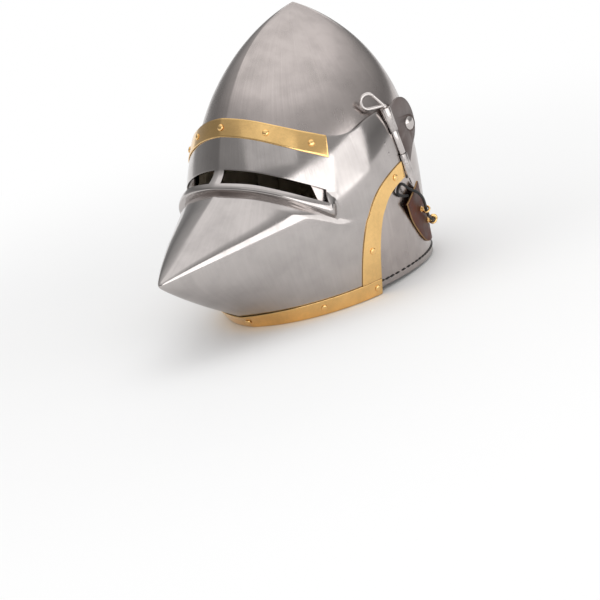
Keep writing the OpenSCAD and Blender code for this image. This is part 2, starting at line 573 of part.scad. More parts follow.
// The pull-out pin, with a point at its foot and a wire loop that leans forward at its head.
loop_lean = [0, -16, 9.5];
module hinge_pin() {
  head = hinge_foot + hinge_dir*(hinge_len + loop_wire + pass);
  reach = norm(loop_lean);
  spread = asin(loop_radius / reach)*0.86;
  color("Gainsboro") {
    on_hinge(-pin_point + 4) cylinder(r = pin_radius, h = hinge_len + loop_wire + pass + pin_point - 4);
    on_hinge(-pin_point) cylinder(r1 = 0.6, r2 = pin_radius, h = 4);
    translate(head) sphere(r = pin_radius + 0.6);
    translate(head) rotate([0, 0, -loop_turn]) {
      translate(loop_lean) rotate([0, 90, 0]) rotate_extrude() translate([loop_radius, 0]) circle(r = loop_wire);
      for (s = [-1, 1]) stand([0, 0, 0], turned(loop_lean, s*spread), [1, 0, 0])
        cylinder(r = loop_wire*0.85, h = reach*cos(spread) - 1);
    }
  }
}
// A vector of the side plane turned about X.
function turned(p, t) = [p[0], p[1]*cos(t) - p[2]*sin(t), p[1]*sin(t) + p[2]*cos(t)];
module left_hinge_pin() side(true) hinge_pin();
module right_hinge_pin() side(false) hinge_pin();

// The pivot rivet, fixed in the skull, and the tapered washer between the skull and the arm's hub.
peen_drop = skull_plate / pivot_normal[0] + abs(slope_y)*pivot_radius*1.5 + abs(slope_z)*pivot_radius*1.5 + 0.4;
module pivot_rivet() {
  foot = pivot_x - peen_drop;
  color("WhiteSmoke") translate([foot, pivot_y, pivot_z]) rotate([0, 90, 0]) {
    translate([0, 0, -0.7]) cylinder(r = pivot_radius, h = hub_out + pass - foot + 1);
    translate([0, 0, -1.4]) cylinder(r = pivot_radius*1.5, h = 1.4);
    translate([0, 0, hub_out + pass - foot]) dome(pivot_head_radius, pivot_head_height);
  }
}
module left_pivot_rivet() side(true) pivot_rivet();
module right_pivot_rivet() side(false) pivot_rivet();
module pivot_washer() {
  color("DarkGray") difference() {
    translate([pivot_x - 6, pivot_y, pivot_z]) rotate([0, 90, 0])
      cylinder(r = hub_radius - 1, h = hub_in - pass - pivot_x + 6);
    stand([pivot_x, pivot_y, pivot_z] + pivot_normal*seat, pivot_normal) translate([-30, -30, -40]) cube([60, 60, 40]);
    pivot_bore(pivot_radius + rivet_fit);
  }
}
module left_pivot_washer() side(true) pivot_washer();
module right_pivot_washer() side(false) pivot_washer();

// The leather band round the rear of the skull: its lower and upper edges, from the left end to the nape.
band_low = [[99.5, 0.208], [109, 0.119], [120, 0.056], [135, 0.04], [157, 0.04], [180, 0.04]];
band_high = [[110.5, 0.252], [121, 0.19], [132, 0.145], [146, 0.125], [163, 0.12], [180, 0.12]];
band_steps = 38;
band_rows = 3;
end_lift = 2*cord_radius + 0.7;
function band_pt(t, f) = through(band_low, t)*(1 - f) + through(band_high, t)*f;
function band_under(t) = seat + band_ease + end_lift*smooth(1 - t / 0.16);
function band_row(f, h) = [for (k = [0:band_steps]) let(t = k / band_steps, c = band_pt(t, f))
  on_skull(c[0], c[1], band_under(t) + h)];
function band_grid(h) = [for (i = [0:band_rows]) let(r = band_row(1 - i / band_rows, h))
  concat([for (j = [0:band_steps]) r[j]], [for (j = [band_steps - 1:-1:0]) mirror_x(r[j])])];
module aventail_band() {
  color("SaddleBrown") difference() {
    plate(band_grid(leather), band_grid(0));
    at_vervelles() translate([0, 0, -20]) cylinder(r = stem_radius + rivet_fit, h = 40);
  }
}

// Vervelles: eyed staples through the leather, spaced evenly along the band.
vervelle_line = 0.6;
vervelle_steps = [0.2, 0.4, 0.6, 0.8];
eye_height = seat + band_ease + leather + eye_radius + eye_wire + 0.9;
module at_vervelle(t) {
  c = band_pt(t, vervelle_line);
  d = band_pt(t + 0.02 > 1 ? 1 : t + 0.02, vervelle_line);
  b = band_pt(t - 0.02, vervelle_line);
  along = t > 0.99 ? [1, 0, 0] : skull_pt(d[0], d[1]) - skull_pt(b[0], b[1]);
  stand(skull_pt(c[0], c[1]), skull_normal(c[0], c[1]), along) children();
}
module at_vervelles() {
  for (left = [true, false]) side(left) for (t = vervelle_steps) at_vervelle(t) children();
  at_vervelle(1) children();
}
module vervelle() {
  translate([0, 0, seat]) cylinder(r = stem_radius, h = eye_height - eye_radius - seat);
  translate([0, 0, seat + band_ease + leather + 0.25]) cylinder(r = stem_radius + 1.6, h = 0.9);
  translate([0, 0, eye_height]) rotate([90, 0, 0]) rotate_extrude() translate([eye_radius, 0]) circle(r = eye_wire);
}
module vervelles() {
  color("Gold") at_vervelles() vervelle();
}

// The cord: through every eye, forward over the band's end, back in a loop and under the leather.
dip = 1.4;
cord_lead = [[110, 0.205, 11], [105.5, 0.23, 10.4], [101.6, 0.247, 6.2], [99.6, 0.262, 3.2], [97.5, 0.268, 2.6],
  [95.5, 0.262, 2.6], [95, 0.25, 2.6], [96.6, 0.24, 2.6], [99.2, 0.232, 2.5], [102.5, 0.226, 2.4]];
cord_half = concat(
  [for (k = [0:40]) let(t = 1 - 0.8*k / 40, c = band_pt(t, vervelle_line))
    on_skull(c[0], c[1], eye_height - dip*(1 - cos(360*4*k / 40)) / 2)],
  [for (k = [1:30]) let(c = through(concat([[band_pt(0.2, vervelle_line)[0], band_pt(0.2, vervelle_line)[1], eye_height]],
    cord_lead), k / 30)) on_skull(c[0], c[1], c[2])]);
cord_path = concat([for (k = [len(cord_half) - 1:-1:1]) mirror_x(cord_half[k])], cord_half);
module vervelle_cord() {
  color("DimGray") tube(cord_path, cord_radius);
}

// The padded liner: sewn in channels, open at the face and at the crown.
liner_rows = 10;
liner_edge = 0.012;
liner_top = 0.84;
function liner_gap(v) = 0.4 + 2.6*smooth((v - 0.06) / 0.12);
liner_cols = concat([for (j = [0:8]) let(t = 90*(1 - cos(90*j / 8))) [(face_angle + 3)*sin(t)^0.66, liner_edge + (face_v + 0.02)*max(cos(t), 0)^0.66]],
  [for (j = [1:liner_channels]) [face_angle + 3 + (177 - face_angle)*j / liner_channels, liner_edge]]);
function liner_pad(j, i) = liner_plate - (j % 2 == 0 ? liner_seam : 0) - (i == 0 || i == liner_rows ? 2.5 : 0);
function liner_grid(inner) = let(n = len(liner_cols), half = [for (i = [0:liner_rows]) [for (j = [0:n - 1])
  let(c = liner_cols[j], v = c[1] + (liner_top - c[1])*i / liner_rows)
  on_skull(c[0], v, -skull_plate - liner_gap(v) - (inner ? liner_pad(j, i) : 0))]])
  [for (r = half) concat([for (j = [0:n - 1]) r[j]], [for (j = [n - 2:-1:1]) mirror_x(r[j])])];
module liner() {
  color("Wheat") difference() {
    plate(liner_grid(false), liner_grid(true), ring = true);
    for (left = [true, false]) side(left) pivot_bore(pivot_radius*1.5 + 2);
  }
}

// The stitching: one thread along the rim, in and out of the edge at each stitch.
stitch_line = 0.02;
stitch_from = face_angle + 6;
stitch_half = [for (k = [0:stitch_count]) let(a = stitch_from + (180 - stitch_from)*k / stitch_count)
  on_skull(a, stitch_line, thread_radius + 0.25 + 0.35*(k % 2))];
stitch_path = concat([for (k = [0:len(stitch_half) - 1]) stitch_half[k]],
  [for (k = [len(stitch_half) - 2:-1:0]) mirror_x(stitch_half[k])]);
module liner_stitching() {
  color("Black") tube(stitch_path, thread_radius, 5);
}

skull();
visor();
brow_strip();
chin_strip();
left_cheek_strip();
right_cheek_strip();
brow_strip_rivets();
chin_strip_rivets();
left_cheek_rivets();
right_cheek_rivets();
left_hinge_arm();
right_hinge_arm();
left_visor_leaf();
right_visor_leaf();
left_leaf_rivets();
right_leaf_rivets();
left_hinge_pin();
right_hinge_pin();
left_pivot_rivet();
right_pivot_rivet();
left_pivot_washer();
right_pivot_washer();
aventail_band();
vervelles();
vervelle_cord();
liner();
liner_stitching();
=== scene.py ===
"""A visored bascinet on a plain studio floor, laid out as a Blender add-on and run as a script."""

import math

import bpy
import numpy as np
from bpy.props import FloatProperty, FloatVectorProperty, IntProperty, PointerProperty
from bpy.types import NodeSocket, Operator, Panel, PropertyGroup
from mathutils import Matrix, Vector


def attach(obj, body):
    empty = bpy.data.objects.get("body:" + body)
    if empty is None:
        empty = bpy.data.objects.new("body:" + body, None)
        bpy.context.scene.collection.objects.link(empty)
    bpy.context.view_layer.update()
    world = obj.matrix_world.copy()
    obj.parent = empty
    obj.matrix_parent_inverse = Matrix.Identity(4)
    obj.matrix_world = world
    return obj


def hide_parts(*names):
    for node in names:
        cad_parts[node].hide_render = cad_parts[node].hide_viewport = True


bl_info = {
    "name": "Visored Bascinet",
    "version": (1, 0, 0),
    "blender": (4, 5, 0),
    "location": "3D View > Sidebar > Bascinet",
    "description": "Dresses the helmet's CAD pieces in polished steel, brass, leather and linen",
    "category": "Object",
}

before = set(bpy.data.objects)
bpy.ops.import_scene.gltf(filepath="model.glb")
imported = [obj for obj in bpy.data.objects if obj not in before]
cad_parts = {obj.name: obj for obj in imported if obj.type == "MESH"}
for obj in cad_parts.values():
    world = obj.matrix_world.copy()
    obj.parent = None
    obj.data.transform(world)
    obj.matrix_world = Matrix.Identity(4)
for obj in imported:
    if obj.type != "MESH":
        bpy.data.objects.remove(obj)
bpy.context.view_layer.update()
MM = 0.001

# Control values of the helmet's curves, in millimetres and degrees, as in the part's source.
SKULL_Z = (4.3, 72, 157, 242, 294, 303)
BROW_Y = (-91, -98, -85, -52, 9, 105)
NAPE_Y = (188, 176, 197, 183, 113, 105)
SIDE_Y = (50, 22, 50, 112, 112, 105)
HALF_W = (99, 109, 140, 113, 21, 0)
RIM_MID_Y = 46
RIM_FALL = 4 / (NAPE_Y[0] - RIM_MID_Y)
FRONT_KEEL = 0.14
BACK_KEEL = 0.1
BACK_SQUARE = 0.84
FACE_HEIGHT = 190
FACE_ANGLE = 54
VISOR_TOP = 222
FACE_Y = (-46, -86, -124, -77)
CHEEK_Y = (93, 57, 24, 50)
VISOR_W = (94, 143, 116, 105)
REAR_REACH = 230
LINE_STEP = 12.5
BROW_LINE = (222, 220, 214, 203.5, 191, 179.5, 179, 184, 186, 186)
SIGHT_LINE = (174, 171.5, 165.3, 154.3, 140, 124, 116, 113, 112.5, 112.5)
LIP_LINE = (162.5, 161, 155.5, 143.5, 128, 112, 105, 103, 102.5, 102.5)
FOLD_LINE = (155, 152.5, 146, 134, 116, 97, 90, 89, 89, 89)
KEEL = math.degrees(math.asin(FRONT_KEEL / (1 + FRONT_KEEL)))
KEEL_COS = math.cos(math.radians(KEEL))
BAR_ANGLE = 10
SIGHT_ANGLE = 56
LIP_REACH = 9
SNOUT_REACH = 104
SNOUT_HALF_WIDTH = 86
SNOUT_TIP = 92
RIDGE_RISE = 19
CHIN_EDGE = 0.7
BROW_STRIP = 17.5
BROW_STRIP_WIDEN = 3.5
BROW_STRIP_ANGLE = 58
CHIN_STRIP = 17
CHIN_FLARE = 0.3
CORNER_Z = 110.5
STRIP_TOP_Z = 128
HINGE_LOW = np.array((123.0, 80.5, 108.6))
HINGE_HIGH = np.array((117.5, 73.4, 186.6))
HINGE_DIR = (HINGE_HIGH - HINGE_LOW) / np.linalg.norm(HINGE_HIGH - HINGE_LOW)
HINGE_MID = (HINGE_LOW + HINGE_HIGH) / 2
KNUCKLE = 26.0
KNUCKLE_SPACE = 0.4
HINGE_LEN = 3 * KNUCKLE + 2 * KNUCKLE_SPACE
HINGE_FOOT = HINGE_MID - HINGE_DIR * HINGE_LEN / 2
EDGE_CLEAR = 7.0
BARREL_REACH = 6.0
LOOP_RADIUS = 8.0
LOOP_WIRE = 2.0
LOOP_TURN = math.radians(35)
LOOP_LEAN = (16.0, 9.5)
BAND_LOW = ((99.5, 0.208), (109, 0.119), (120, 0.056), (135, 0.04), (157, 0.04), (180, 0.04))
BAND_HIGH = ((110.5, 0.252), (121, 0.19), (132, 0.145), (146, 0.125), (163, 0.12), (180, 0.12))
BAND_SEAT = 0.55
VERVELLE_LINE = 0.6
VERVELLE_STEPS = (0.2, 0.4, 0.6, 0.8)
CORD_LEAD = ((110, 0.205, 11), (105.5, 0.23, 10.4), (101.6, 0.247, 6.2), (99.6, 0.262, 3.2),
             (97.5, 0.268, 2.6), (95.5, 0.262, 2.6), (95, 0.25, 2.6), (96.6, 0.24, 2.6),
             (99.2, 0.232, 2.5), (102.5, 0.226, 2.4))

# Spots, counts and turns that the scene shares.
SIDES = (("left", 1), ("right", -1))
FACE_TOP_Y = -62
ARCH = 0.66
REAR_ANGLE = 98.0
REAR_FOOT_Y, REAR_BOW = 17, 30
CHEEK_FOOT_Y, CHEEK_BOW = -7, 45
STRIP_INSET = 0.3
BROW_RIVETS = (31, 51)
CHIN_RIVETS = (46, 74)
CHEEK_RIVETS = ((56.0, 115.5), (8.0, 52.0))
RIVET_BASE = 0.45
PIN_RADIUS = 2.1 * MM
PIN_SHAFT = ((-9, 0.3), (-8.2, 0.55), (-6.5, 0.85), (-5, 1), (0, 1), (40, 1), (HINGE_LEN, 1),
             (HINGE_LEN + 1.2, 1))
LOOP_START, LOOP_SWEEP, LOOP_STEPS = math.radians(58), math.radians(244), 40
BAND_BOW, BOW_SHARE = 3.9, 0.16
RING_RADIUS, RING_WIRE = 3.5, 1.3
CORD_SAG = 1.4
STITCH_V = 0.02
STITCH_SIZE = (0.75 * MM, 0.6 * MM, 3.6 * MM, 1)
INSIDE = (0, 0.06, 0.1)
MIDDLE = (0, 0.06, 0.12)
EDGE_ANGLE = 55
SHADE_ANGLE = 50
CROWN_STEPS = 6
WELD = 2e-5
SMUDGE_SHARE = 0.6

# The camera as fitted to the photograph, the lamps and the levels of the sky.
LENS, SENSOR = 144, 36
CAMERA_PLACE = (1.6995, -1.8199, 0.7163)
CAMERA_LOOK = (-0.65606, 0.70220, -0.27660)
CAMERA_UP = (0, 0.36650, 0.93042)
LAMP_AIM = (0, 0, 0.15)
FLOOR_SIZE = 80
LAMPS = (  # name, place, size, power, whether polished metal mirrors it
    ("key", (-1.5, -2.0, 2.5), (2.4, 2.0), 12, False),
    ("front", (2.35, -1.45, 0.75), (2.3, 1.45), 23, True),
    ("side", (2.75, 0.35, 0.72), (1.6, 1.4), 11, True),
    ("brow", (0.95, -2.05, 2.1), (2.4, 0.8), 2.2, True),
    ("top", (0.2, 0.5, 2.8), (1.6, 1.6), 6, False),
    ("back", (-1.2, 2.2, 1.4), (1.6, 1.0), 5, True))
SKY = ((0.0, 0.6), (1.0, 0.95), (0.08, 0.28), (0.28, 0.18), (0.45, 0.33), (0.62, 0.45),
       (0.74, 0.58), (0.84, 0.95))
SKY_LEAN = 0.15
SKY_STRENGTH = 1.3


class HelmetSizes(PropertyGroup):
    """Sizes of the dressed pieces."""
    skull_plate: FloatProperty(
        name="Skull plate", description="Thickness of the skull", default=2 * MM, unit="LENGTH")
    visor_plate: FloatProperty(
        name="Visor plate", description="Thickness of the visor", default=1.6 * MM, unit="LENGTH")
    strip_plate: FloatProperty(
        name="Brass strip", description="Thickness of the edging", default=1.1 * MM, unit="LENGTH")
    strip_seat: FloatProperty(
        name="Strip seat", description="Gap under the edging", default=0.2 * MM, unit="LENGTH")
    edge_round: FloatProperty(
        name="Edge round", description="Rounding of the plates' edges",
        default=0.4 * MM, unit="LENGTH")
    rivet_radius: FloatProperty(
        name="Rivet head", description="Radius of the rivet heads", default=3.6 * MM, unit="LENGTH")
    rivet_height: FloatProperty(
        name="Rivet height", description="Height of the rivet heads",
        default=1.9 * MM, unit="LENGTH")
    cord_radius: FloatProperty(
        name="Cord", description="Radius of the laced cord", default=1.6 * MM, unit="LENGTH")
    leather: FloatProperty(
        name="Leather", description="Thickness of the leather band", default=2 * MM, unit="LENGTH")
    liner: FloatProperty(
        name="Liner", description="Thickness of the padded liner", default=8 * MM, unit="LENGTH")
    channels: IntProperty(
        name="Liner channels", description="Sewn channels on each side of the liner",
        default=10, min=6)


class HelmetColours(PropertyGroup):
    """Colours of the dressed pieces."""
    steel: FloatVectorProperty(
        name="Steel", description="Brushed plate of the skull",
        default=(0.51, 0.458, 0.438), subtype="COLOR", size=3, min=0, max=1)
    visor: FloatVectorProperty(
        name="Visor steel", description="Brighter plate of the visor",
        default=(0.5, 0.465, 0.45), subtype="COLOR", size=3, min=0, max=1)
    # Painted shade: the hinge arms' and washers' steel is kept far darker than the plates.
    hinge_steel: FloatVectorProperty(
        name="Hinge steel", description="Filed hinge steel",
        default=(0.14, 0.107, 0.098), subtype="COLOR", size=3, min=0, max=1)
    brass: FloatVectorProperty(
        name="Brass", description="Edging, rivets and vervelles",
        default=(0.97, 0.63, 0.26), subtype="COLOR", size=3, min=0, max=1)
    leather: FloatVectorProperty(
        name="Leather", description="Face of the band",
        default=(0.05, 0.013, 0.0065), subtype="COLOR", size=3, min=0, max=1)
    raw_edge: FloatVectorProperty(
        name="Raw edge", description="Cut edge of the leather",
        default=(0.5, 0.29, 0.12), subtype="COLOR", size=3, min=0, max=1)
    cord: FloatVectorProperty(
        name="Cord", description="Waxed cord and thread",
        default=(0.014, 0.013, 0.013), subtype="COLOR", size=3, min=0, max=1)
    linen: FloatVectorProperty(
        name="Linen", description="Cloth of the liner",
        default=(0.56, 0.47, 0.34), subtype="COLOR", size=3, min=0, max=1)


def sizes():
    return bpy.context.scene.helmet_sizes


def colours():
    return bpy.context.scene.helmet_colours


# Curves of the helmet, with the same coefficients as in the part's source.

def curve(values, t):
    """A smooth curve that starts and ends at the first and last control value."""
    n = len(values) - 1
    return sum(math.comb(n, k) * (1 - t) ** (n - k) * t ** k * c for k, c in enumerate(values))


def smooth(x):
    t = np.clip(x, 0, 1)
    return t * t * (3 - 2 * t)


def through(values, t):
    """A smooth curve through every value of a list, t from 0 to 1."""
    c = np.asarray(values, float)
    n = len(c) - 1
    x = np.clip(np.asarray(t, float), 0, 1) * n
    i = np.minimum(np.floor(x).astype(int), n - 1)
    f = x - i
    if c.ndim > 1:
        f = f[..., None]
    p0, p1, p2, p3 = c[np.maximum(i - 1, 0)], c[i], c[i + 1], c[np.minimum(i + 2, n)]
    return 0.5 * (2 * p1 + (p2 - p0) * f + (2 * p0 - 5 * p1 + 4 * p2 - p3) * f ** 2
                  + (3 * p1 - p0 - 3 * p2 + p3) * f ** 3)


def line_z(values, a):
    return through(values, a / (LINE_STEP * (len(values) - 1)))


def pair(a, b):
    return np.broadcast_arrays(np.asarray(a, float), np.asarray(b, float))


def unit(p):
    return p / np.maximum(np.linalg.norm(p, axis=-1, keepdims=True), 1e-12)


def skull_z(y, v):
    return curve(SKULL_Z, v) - RIM_FALL * (y - RIM_MID_Y) * (1 - v) ** 2


def skull_pt(a, v):
    """Points on the skull's outside; a is 0 at the front, 180 at the nape; v is 0 at the rim."""
    a, v = pair(a, v)
    front = a <= 90
    q = np.where(front, FRONT_KEEL, BACK_KEEL)
    e = np.where(front, 1.0, BACK_SQUARE)
    p0 = np.arcsin(q / (1 + q))
    ph = p0 + (np.pi / 2 - p0) * np.where(front, a, 180 - a) / 90
    s0 = np.sin(p0) ** e
    s = (np.sin(ph) ** e - s0) / (1 - s0)
    c = np.maximum(np.cos(ph) / np.cos(p0), 0) ** e
    y0 = curve(SIDE_Y, v)
    y = y0 + (np.where(front, curve(BROW_Y, v), curve(NAPE_Y, v)) - y0) * c
    return np.stack([curve(HALF_W, v) * s, y, skull_z(y, v)], -1)


def skull_normal(a, v):
    step_a, step_v, on_keel = 0.5, 0.004, 0.6
    a, v = pair(a, v)
    da = skull_pt(np.minimum(a + step_a, 179.98), v) - skull_pt(np.maximum(a - step_a, 0.02), v)
    dv = skull_pt(a, np.minimum(v + step_v, 0.999)) - skull_pt(a, np.maximum(v - step_v, 0))
    n = np.cross(da, dv)
    n[..., 0] = np.where((a < on_keel) | (a > 180 - on_keel), 0, n[..., 0])
    return unit(n)


def on_skull(a, v, h):
    return skull_pt(a, v) + skull_normal(a, v) * np.asarray(h, float)[..., None]


def skull_v(y, z):
    """The skull's v at a height, by halving."""
    lo, hi, halvings = 0.0, 1.0, 30
    for _ in range(halvings):
        v = (lo + hi) / 2
        if skull_z(y, v) < z:
            lo = v
        else:
            hi = v
    return v


def lip_out(a, z):
    """How far the lip below the sights stands out."""
    t, m, b = line_z(SIGHT_LINE, a), line_z(LIP_LINE, a), line_z(FOLD_LINE, a)
    up = np.clip((t - z) / (t - m), 0, 1)
    dn = np.clip((m - z) / (m - b), 0, 1.4)
    under = 0.8 + 0.2 * np.sin(np.pi * np.minimum(dn, 0.5))
    under = under - 0.8 * np.maximum(0, dn - 0.55) ** 2 / 0.2
    h = np.where(z > m, 0.8 * up * up, np.where(dn < 1, under, 0.05 * smooth((1.4 - dn) / 0.4)))
    return LIP_REACH * np.maximum(h, 0) * smooth((SIGHT_ANGLE + 5 - a) / 4)


def snout_out(a, z, x):
    """How far forward the snout stands; its side ridges rise from the tip to the cheeks."""
    fx = np.abs(x) / SNOUT_HALF_WIDTH
    side = np.minimum(fx, 1)
    ridge = SNOUT_TIP + RIDGE_RISE * side
    top = (line_z(FOLD_LINE, np.array(KEEL)) - SNOUT_TIP) * (1 - 0.3 * side)
    above = z > ridge
    fz = np.where(above, (z - ridge) / top, (ridge - z) / (ridge - 14))
    swell = np.where(above, 0.45, 0.13) * fx * fz * fz / (fz + 0.4)
    rho = np.sqrt(fx * fx + fz * fz + swell + 0.0009)
    soft = 0.05 + 0.14 * smooth(fx) + np.where(above, 0, 0.04 * smooth(fz / 0.4))
    g = 0.5 * ((1 - rho) + np.sqrt((1 - rho) ** 2 + soft * soft))
    g0 = 0.5 * soft * soft / (rho + 0.3)
    fade = smooth((line_z(FOLD_LINE, a) + 2 - z) / 7)
    past = np.where(rho > 1, g0 * smooth((rho - 1) / 0.4), 0)
    return SNOUT_REACH * np.maximum(0, g - past) * fade


def visor_u(z):
    return np.clip((VISOR_TOP - z) / VISOR_TOP, -0.1, 1.05)


def visor_pt(a, z):
    """Points on the outside of the visor at an angle from the front and a height."""
    a, z = pair(a, z)
    u = visor_u(z)
    w, ym, yw = curve(VISOR_W, u), curve(FACE_Y, u), curve(CHEEK_Y, u)
    r = np.radians(a)
    front = a <= 90
    x = np.where(front, w * ((1 + FRONT_KEEL) * np.sin(r) - FRONT_KEEL), w * np.sin(r))
    y = np.where(front, yw + (ym - yw) * np.cos(r) / KEEL_COS, yw - REAR_REACH * np.cos(r))
    out = unit(np.stack([(yw - ym) * np.sin(r), -w * (1 + FRONT_KEEL) * np.cos(r),
                         np.zeros_like(r)], -1))
    lip = np.where(front, lip_out(a, z), 0)
    p = np.stack([x, y, z], -1) + out * lip[..., None]
    p[..., 1] -= snout_out(a, z, x)
    return p


def visor_normal(a, z):
    step, on_keel = 0.4, 0.1
    a, z = pair(a, z)
    da = visor_pt(a + step, z) - visor_pt(np.maximum(a - step, KEEL), z)
    n = np.cross(da, visor_pt(a, z + step) - visor_pt(a, z - step))
    n[..., 0] = np.where(a < KEEL + on_keel, 0, n[..., 0])
    return unit(n)


def on_visor(a, z, h):
    return visor_pt(a, z) + visor_normal(a, z) * np.asarray(h, float)[..., None]


def visor_angle(y, z):
    """The visor's angle at a place given by y and z."""
    u = visor_u(z)
    ym, yw = curve(FACE_Y, u), curve(CHEEK_Y, u)
    ahead = np.degrees(np.arccos(np.clip((yw - y) / (yw - ym) * KEEL_COS, -1, 1)))
    behind = 90 + np.degrees(np.arcsin(np.clip((y - yw) / REAR_REACH, 0, 1)))
    return np.where(y < yw, ahead, behind)


def brow_drop(a):
    """Width of the brow strip, which widens towards its ends."""
    return BROW_STRIP + BROW_STRIP_WIDEN * ((a - KEEL) / (BROW_STRIP_ANGLE - KEEL)) ** 2


def hinge_y(z):
    return HINGE_MID[1] + (z - HINGE_MID[2]) * HINGE_DIR[1] / HINGE_DIR[2]


def visor_rear(z):
    """The visor's rear edge: bowed below the corner, along the hinge above it."""
    p = np.clip(z / CORNER_Z, 0, 1)
    reach = hinge_y(CORNER_Z) - EDGE_CLEAR - REAR_FOOT_Y - REAR_BOW
    low = REAR_FOOT_Y + REAR_BOW * p ** 3.5 + reach * p ** 20
    return np.where(z > CORNER_Z, hinge_y(z) - EDGE_CLEAR, low)


def cheek_front(z):
    """The cheek strip's front edge."""
    p = np.clip(z / STRIP_TOP_Z, 0, 1)
    reach = hinge_y(STRIP_TOP_Z) - EDGE_CLEAR - CHEEK_FOOT_Y - CHEEK_BOW
    return CHEEK_FOOT_Y + CHEEK_BOW * p ** 3 + reach * p ** 14


def mirrored(p, sign):
    """Points with their X turned to the left (1) or the right (-1)."""
    q = np.array(p, float)
    q[..., 0] = q[..., 0] * sign
    return q


def side_of(col, middle):
    return np.where(col >= middle, 1, -1)


def stand(p, z, y=(0, 0, 1)):
    """A matrix that stands things at a point in millimetres, with Z along a direction."""
    zz = Vector(z).normalized()
    xx = Vector(y).cross(zz).normalized()
    yy = zz.cross(xx)
    m = Matrix((xx, yy, zz)).transposed().to_4x4()
    m.translation = Vector(p) * MM
    return m


# Modelling helpers.

def named(obj, name):
    obj.name = obj.data.name = name
    return obj


def only(*objects):
    """Leaves these objects selected, and the first one active."""
    for o in list(bpy.context.selected_objects):
        o.select_set(False)
    for o in objects:
        o.select_set(True)
    if objects:
        bpy.context.view_layer.objects.active = objects[0]


def mode(kind):
    bpy.ops.object.mode_set(mode=kind)


def link(obj):
    bpy.context.scene.collection.objects.link(obj)
    return obj


def join(target, *others):
    """Joins other objects into the first one."""
    only(target, *others)
    if others:
        bpy.ops.object.join()
    return target


def edit(obj, *steps):
    """Runs mesh operators on the whole of one object."""
    only(obj)
    mode("EDIT")
    bpy.ops.mesh.select_all(action="SELECT")
    for step in steps:
        step()
    mode("OBJECT")


def edit_faces(obj, chosen):
    """Goes into edit mode with only the chosen faces selected."""
    mode("EDIT")
    bpy.ops.mesh.select_mode(type="FACE")
    bpy.ops.mesh.select_all(action="DESELECT")
    mode("OBJECT")
    obj.data.polygons.foreach_set("select", chosen)
    mode("EDIT")


def smooth_shade(obj, angle):
    only(obj)
    bpy.ops.object.shade_smooth_by_angle(angle=math.radians(angle))


def sheet_of(name, cols, rows, place, drop=None, weld=False):
    """A grid whose vertices are moved to a surface; place takes and gives arrays in millimetres."""
    only()
    bpy.ops.mesh.primitive_grid_add(x_subdivisions=cols, y_subdivisions=rows, size=1)
    obj = named(bpy.context.active_object, name)
    co = np.zeros(len(obj.data.vertices) * 3)
    obj.data.vertices.foreach_get("co", co)
    co = co.reshape(-1, 3)
    col = np.rint((co[:, 0] + 0.5) * cols).astype(int)
    row = np.rint((co[:, 1] + 0.5) * rows).astype(int)
    obj.data.vertices.foreach_set("co", (place(col, row) * MM).ravel())
    if drop:
        corners = [list(f.vertices) for f in obj.data.polygons]
        middle = np.array([(col[c].mean(), row[c].mean()) for c in corners])
        edit_faces(obj, drop(middle[:, 0], middle[:, 1]))
        bpy.ops.mesh.delete(type="FACE")
        mode("OBJECT")
    steps = [lambda: bpy.ops.mesh.remove_doubles(threshold=WELD)] if weld else []
    edit(obj, *steps, lambda: bpy.ops.mesh.normals_make_consistent(inside=False))
    return obj


def face_out(obj, away_from):
    """Turns a skin so that its faces look away from a point in metres."""
    away = Vector(away_from)
    if sum((f.center - away).dot(f.normal) * f.area for f in obj.data.polygons) < 0:
        edit(obj, bpy.ops.mesh.flip_normals)


def round_edges(obj, rounding, segments=2, angle=EDGE_ANGLE, shade=SHADE_ANGLE):
    """Bevels the sharp edges, applies all modifiers and shades the piece."""
    b = obj.modifiers.new("edge", "BEVEL")
    b.width = rounding
    b.segments = segments
    b.limit_method = "ANGLE"
    b.angle_limit = math.radians(angle)
    only(obj)
    for m in list(obj.modifiers):
        bpy.ops.object.modifier_apply(modifier=m.name)
    smooth_shade(obj, shade)


def thicken(obj, thickness, rounding, segments=2, rim_raw_edge_and_highlight=0):
    """Makes a skin into a plate that lies inside it."""
    m = obj.modifiers.new("plate", "SOLIDIFY")
    m.thickness = thickness
    m.offset = -1.0
    m.use_even_offset = True
    # The rim takes the second material: on the band the leather's raw edge, on the visor a painted
    # highlight.
    m.material_offset_rim = rim_raw_edge_and_highlight
    round_edges(obj, rounding, segments)


def double_skin(name, cols, rows, outer, inner):
    """A closed shell: an outer and an inner skin, joined along their open edges."""
    back = sheet_of(name + "_back", cols, rows, outer, weld=True)
    obj = sheet_of(name, cols, rows, inner, weld=True)
    for skin in (back, obj):
        face_out(skin, MIDDLE)
    edit(obj, bpy.ops.mesh.flip_normals)
    join(obj, back)
    mode("EDIT")
    bpy.ops.mesh.select_mode(type="EDGE")
    bpy.ops.mesh.select_all(action="DESELECT")
    bpy.ops.mesh.select_non_manifold(extend=False, use_wire=False, use_multi_face=False,
                                     use_non_contiguous=False, use_verts=False)
    bpy.ops.mesh.bridge_edge_loops(type="PAIRS")
    mode("OBJECT")
    return obj


def copies(name, proto, matrices):
    """One object that holds a copy of a model at each place; the model itself is removed."""
    parts = []
    for m in matrices:
        o = link(proto.copy())
        o.data = proto.data.copy()
        o.data.transform(m)
        parts.append(o)
    obj = join(*parts)
    bpy.data.objects.remove(proto)
    return named(obj, name)


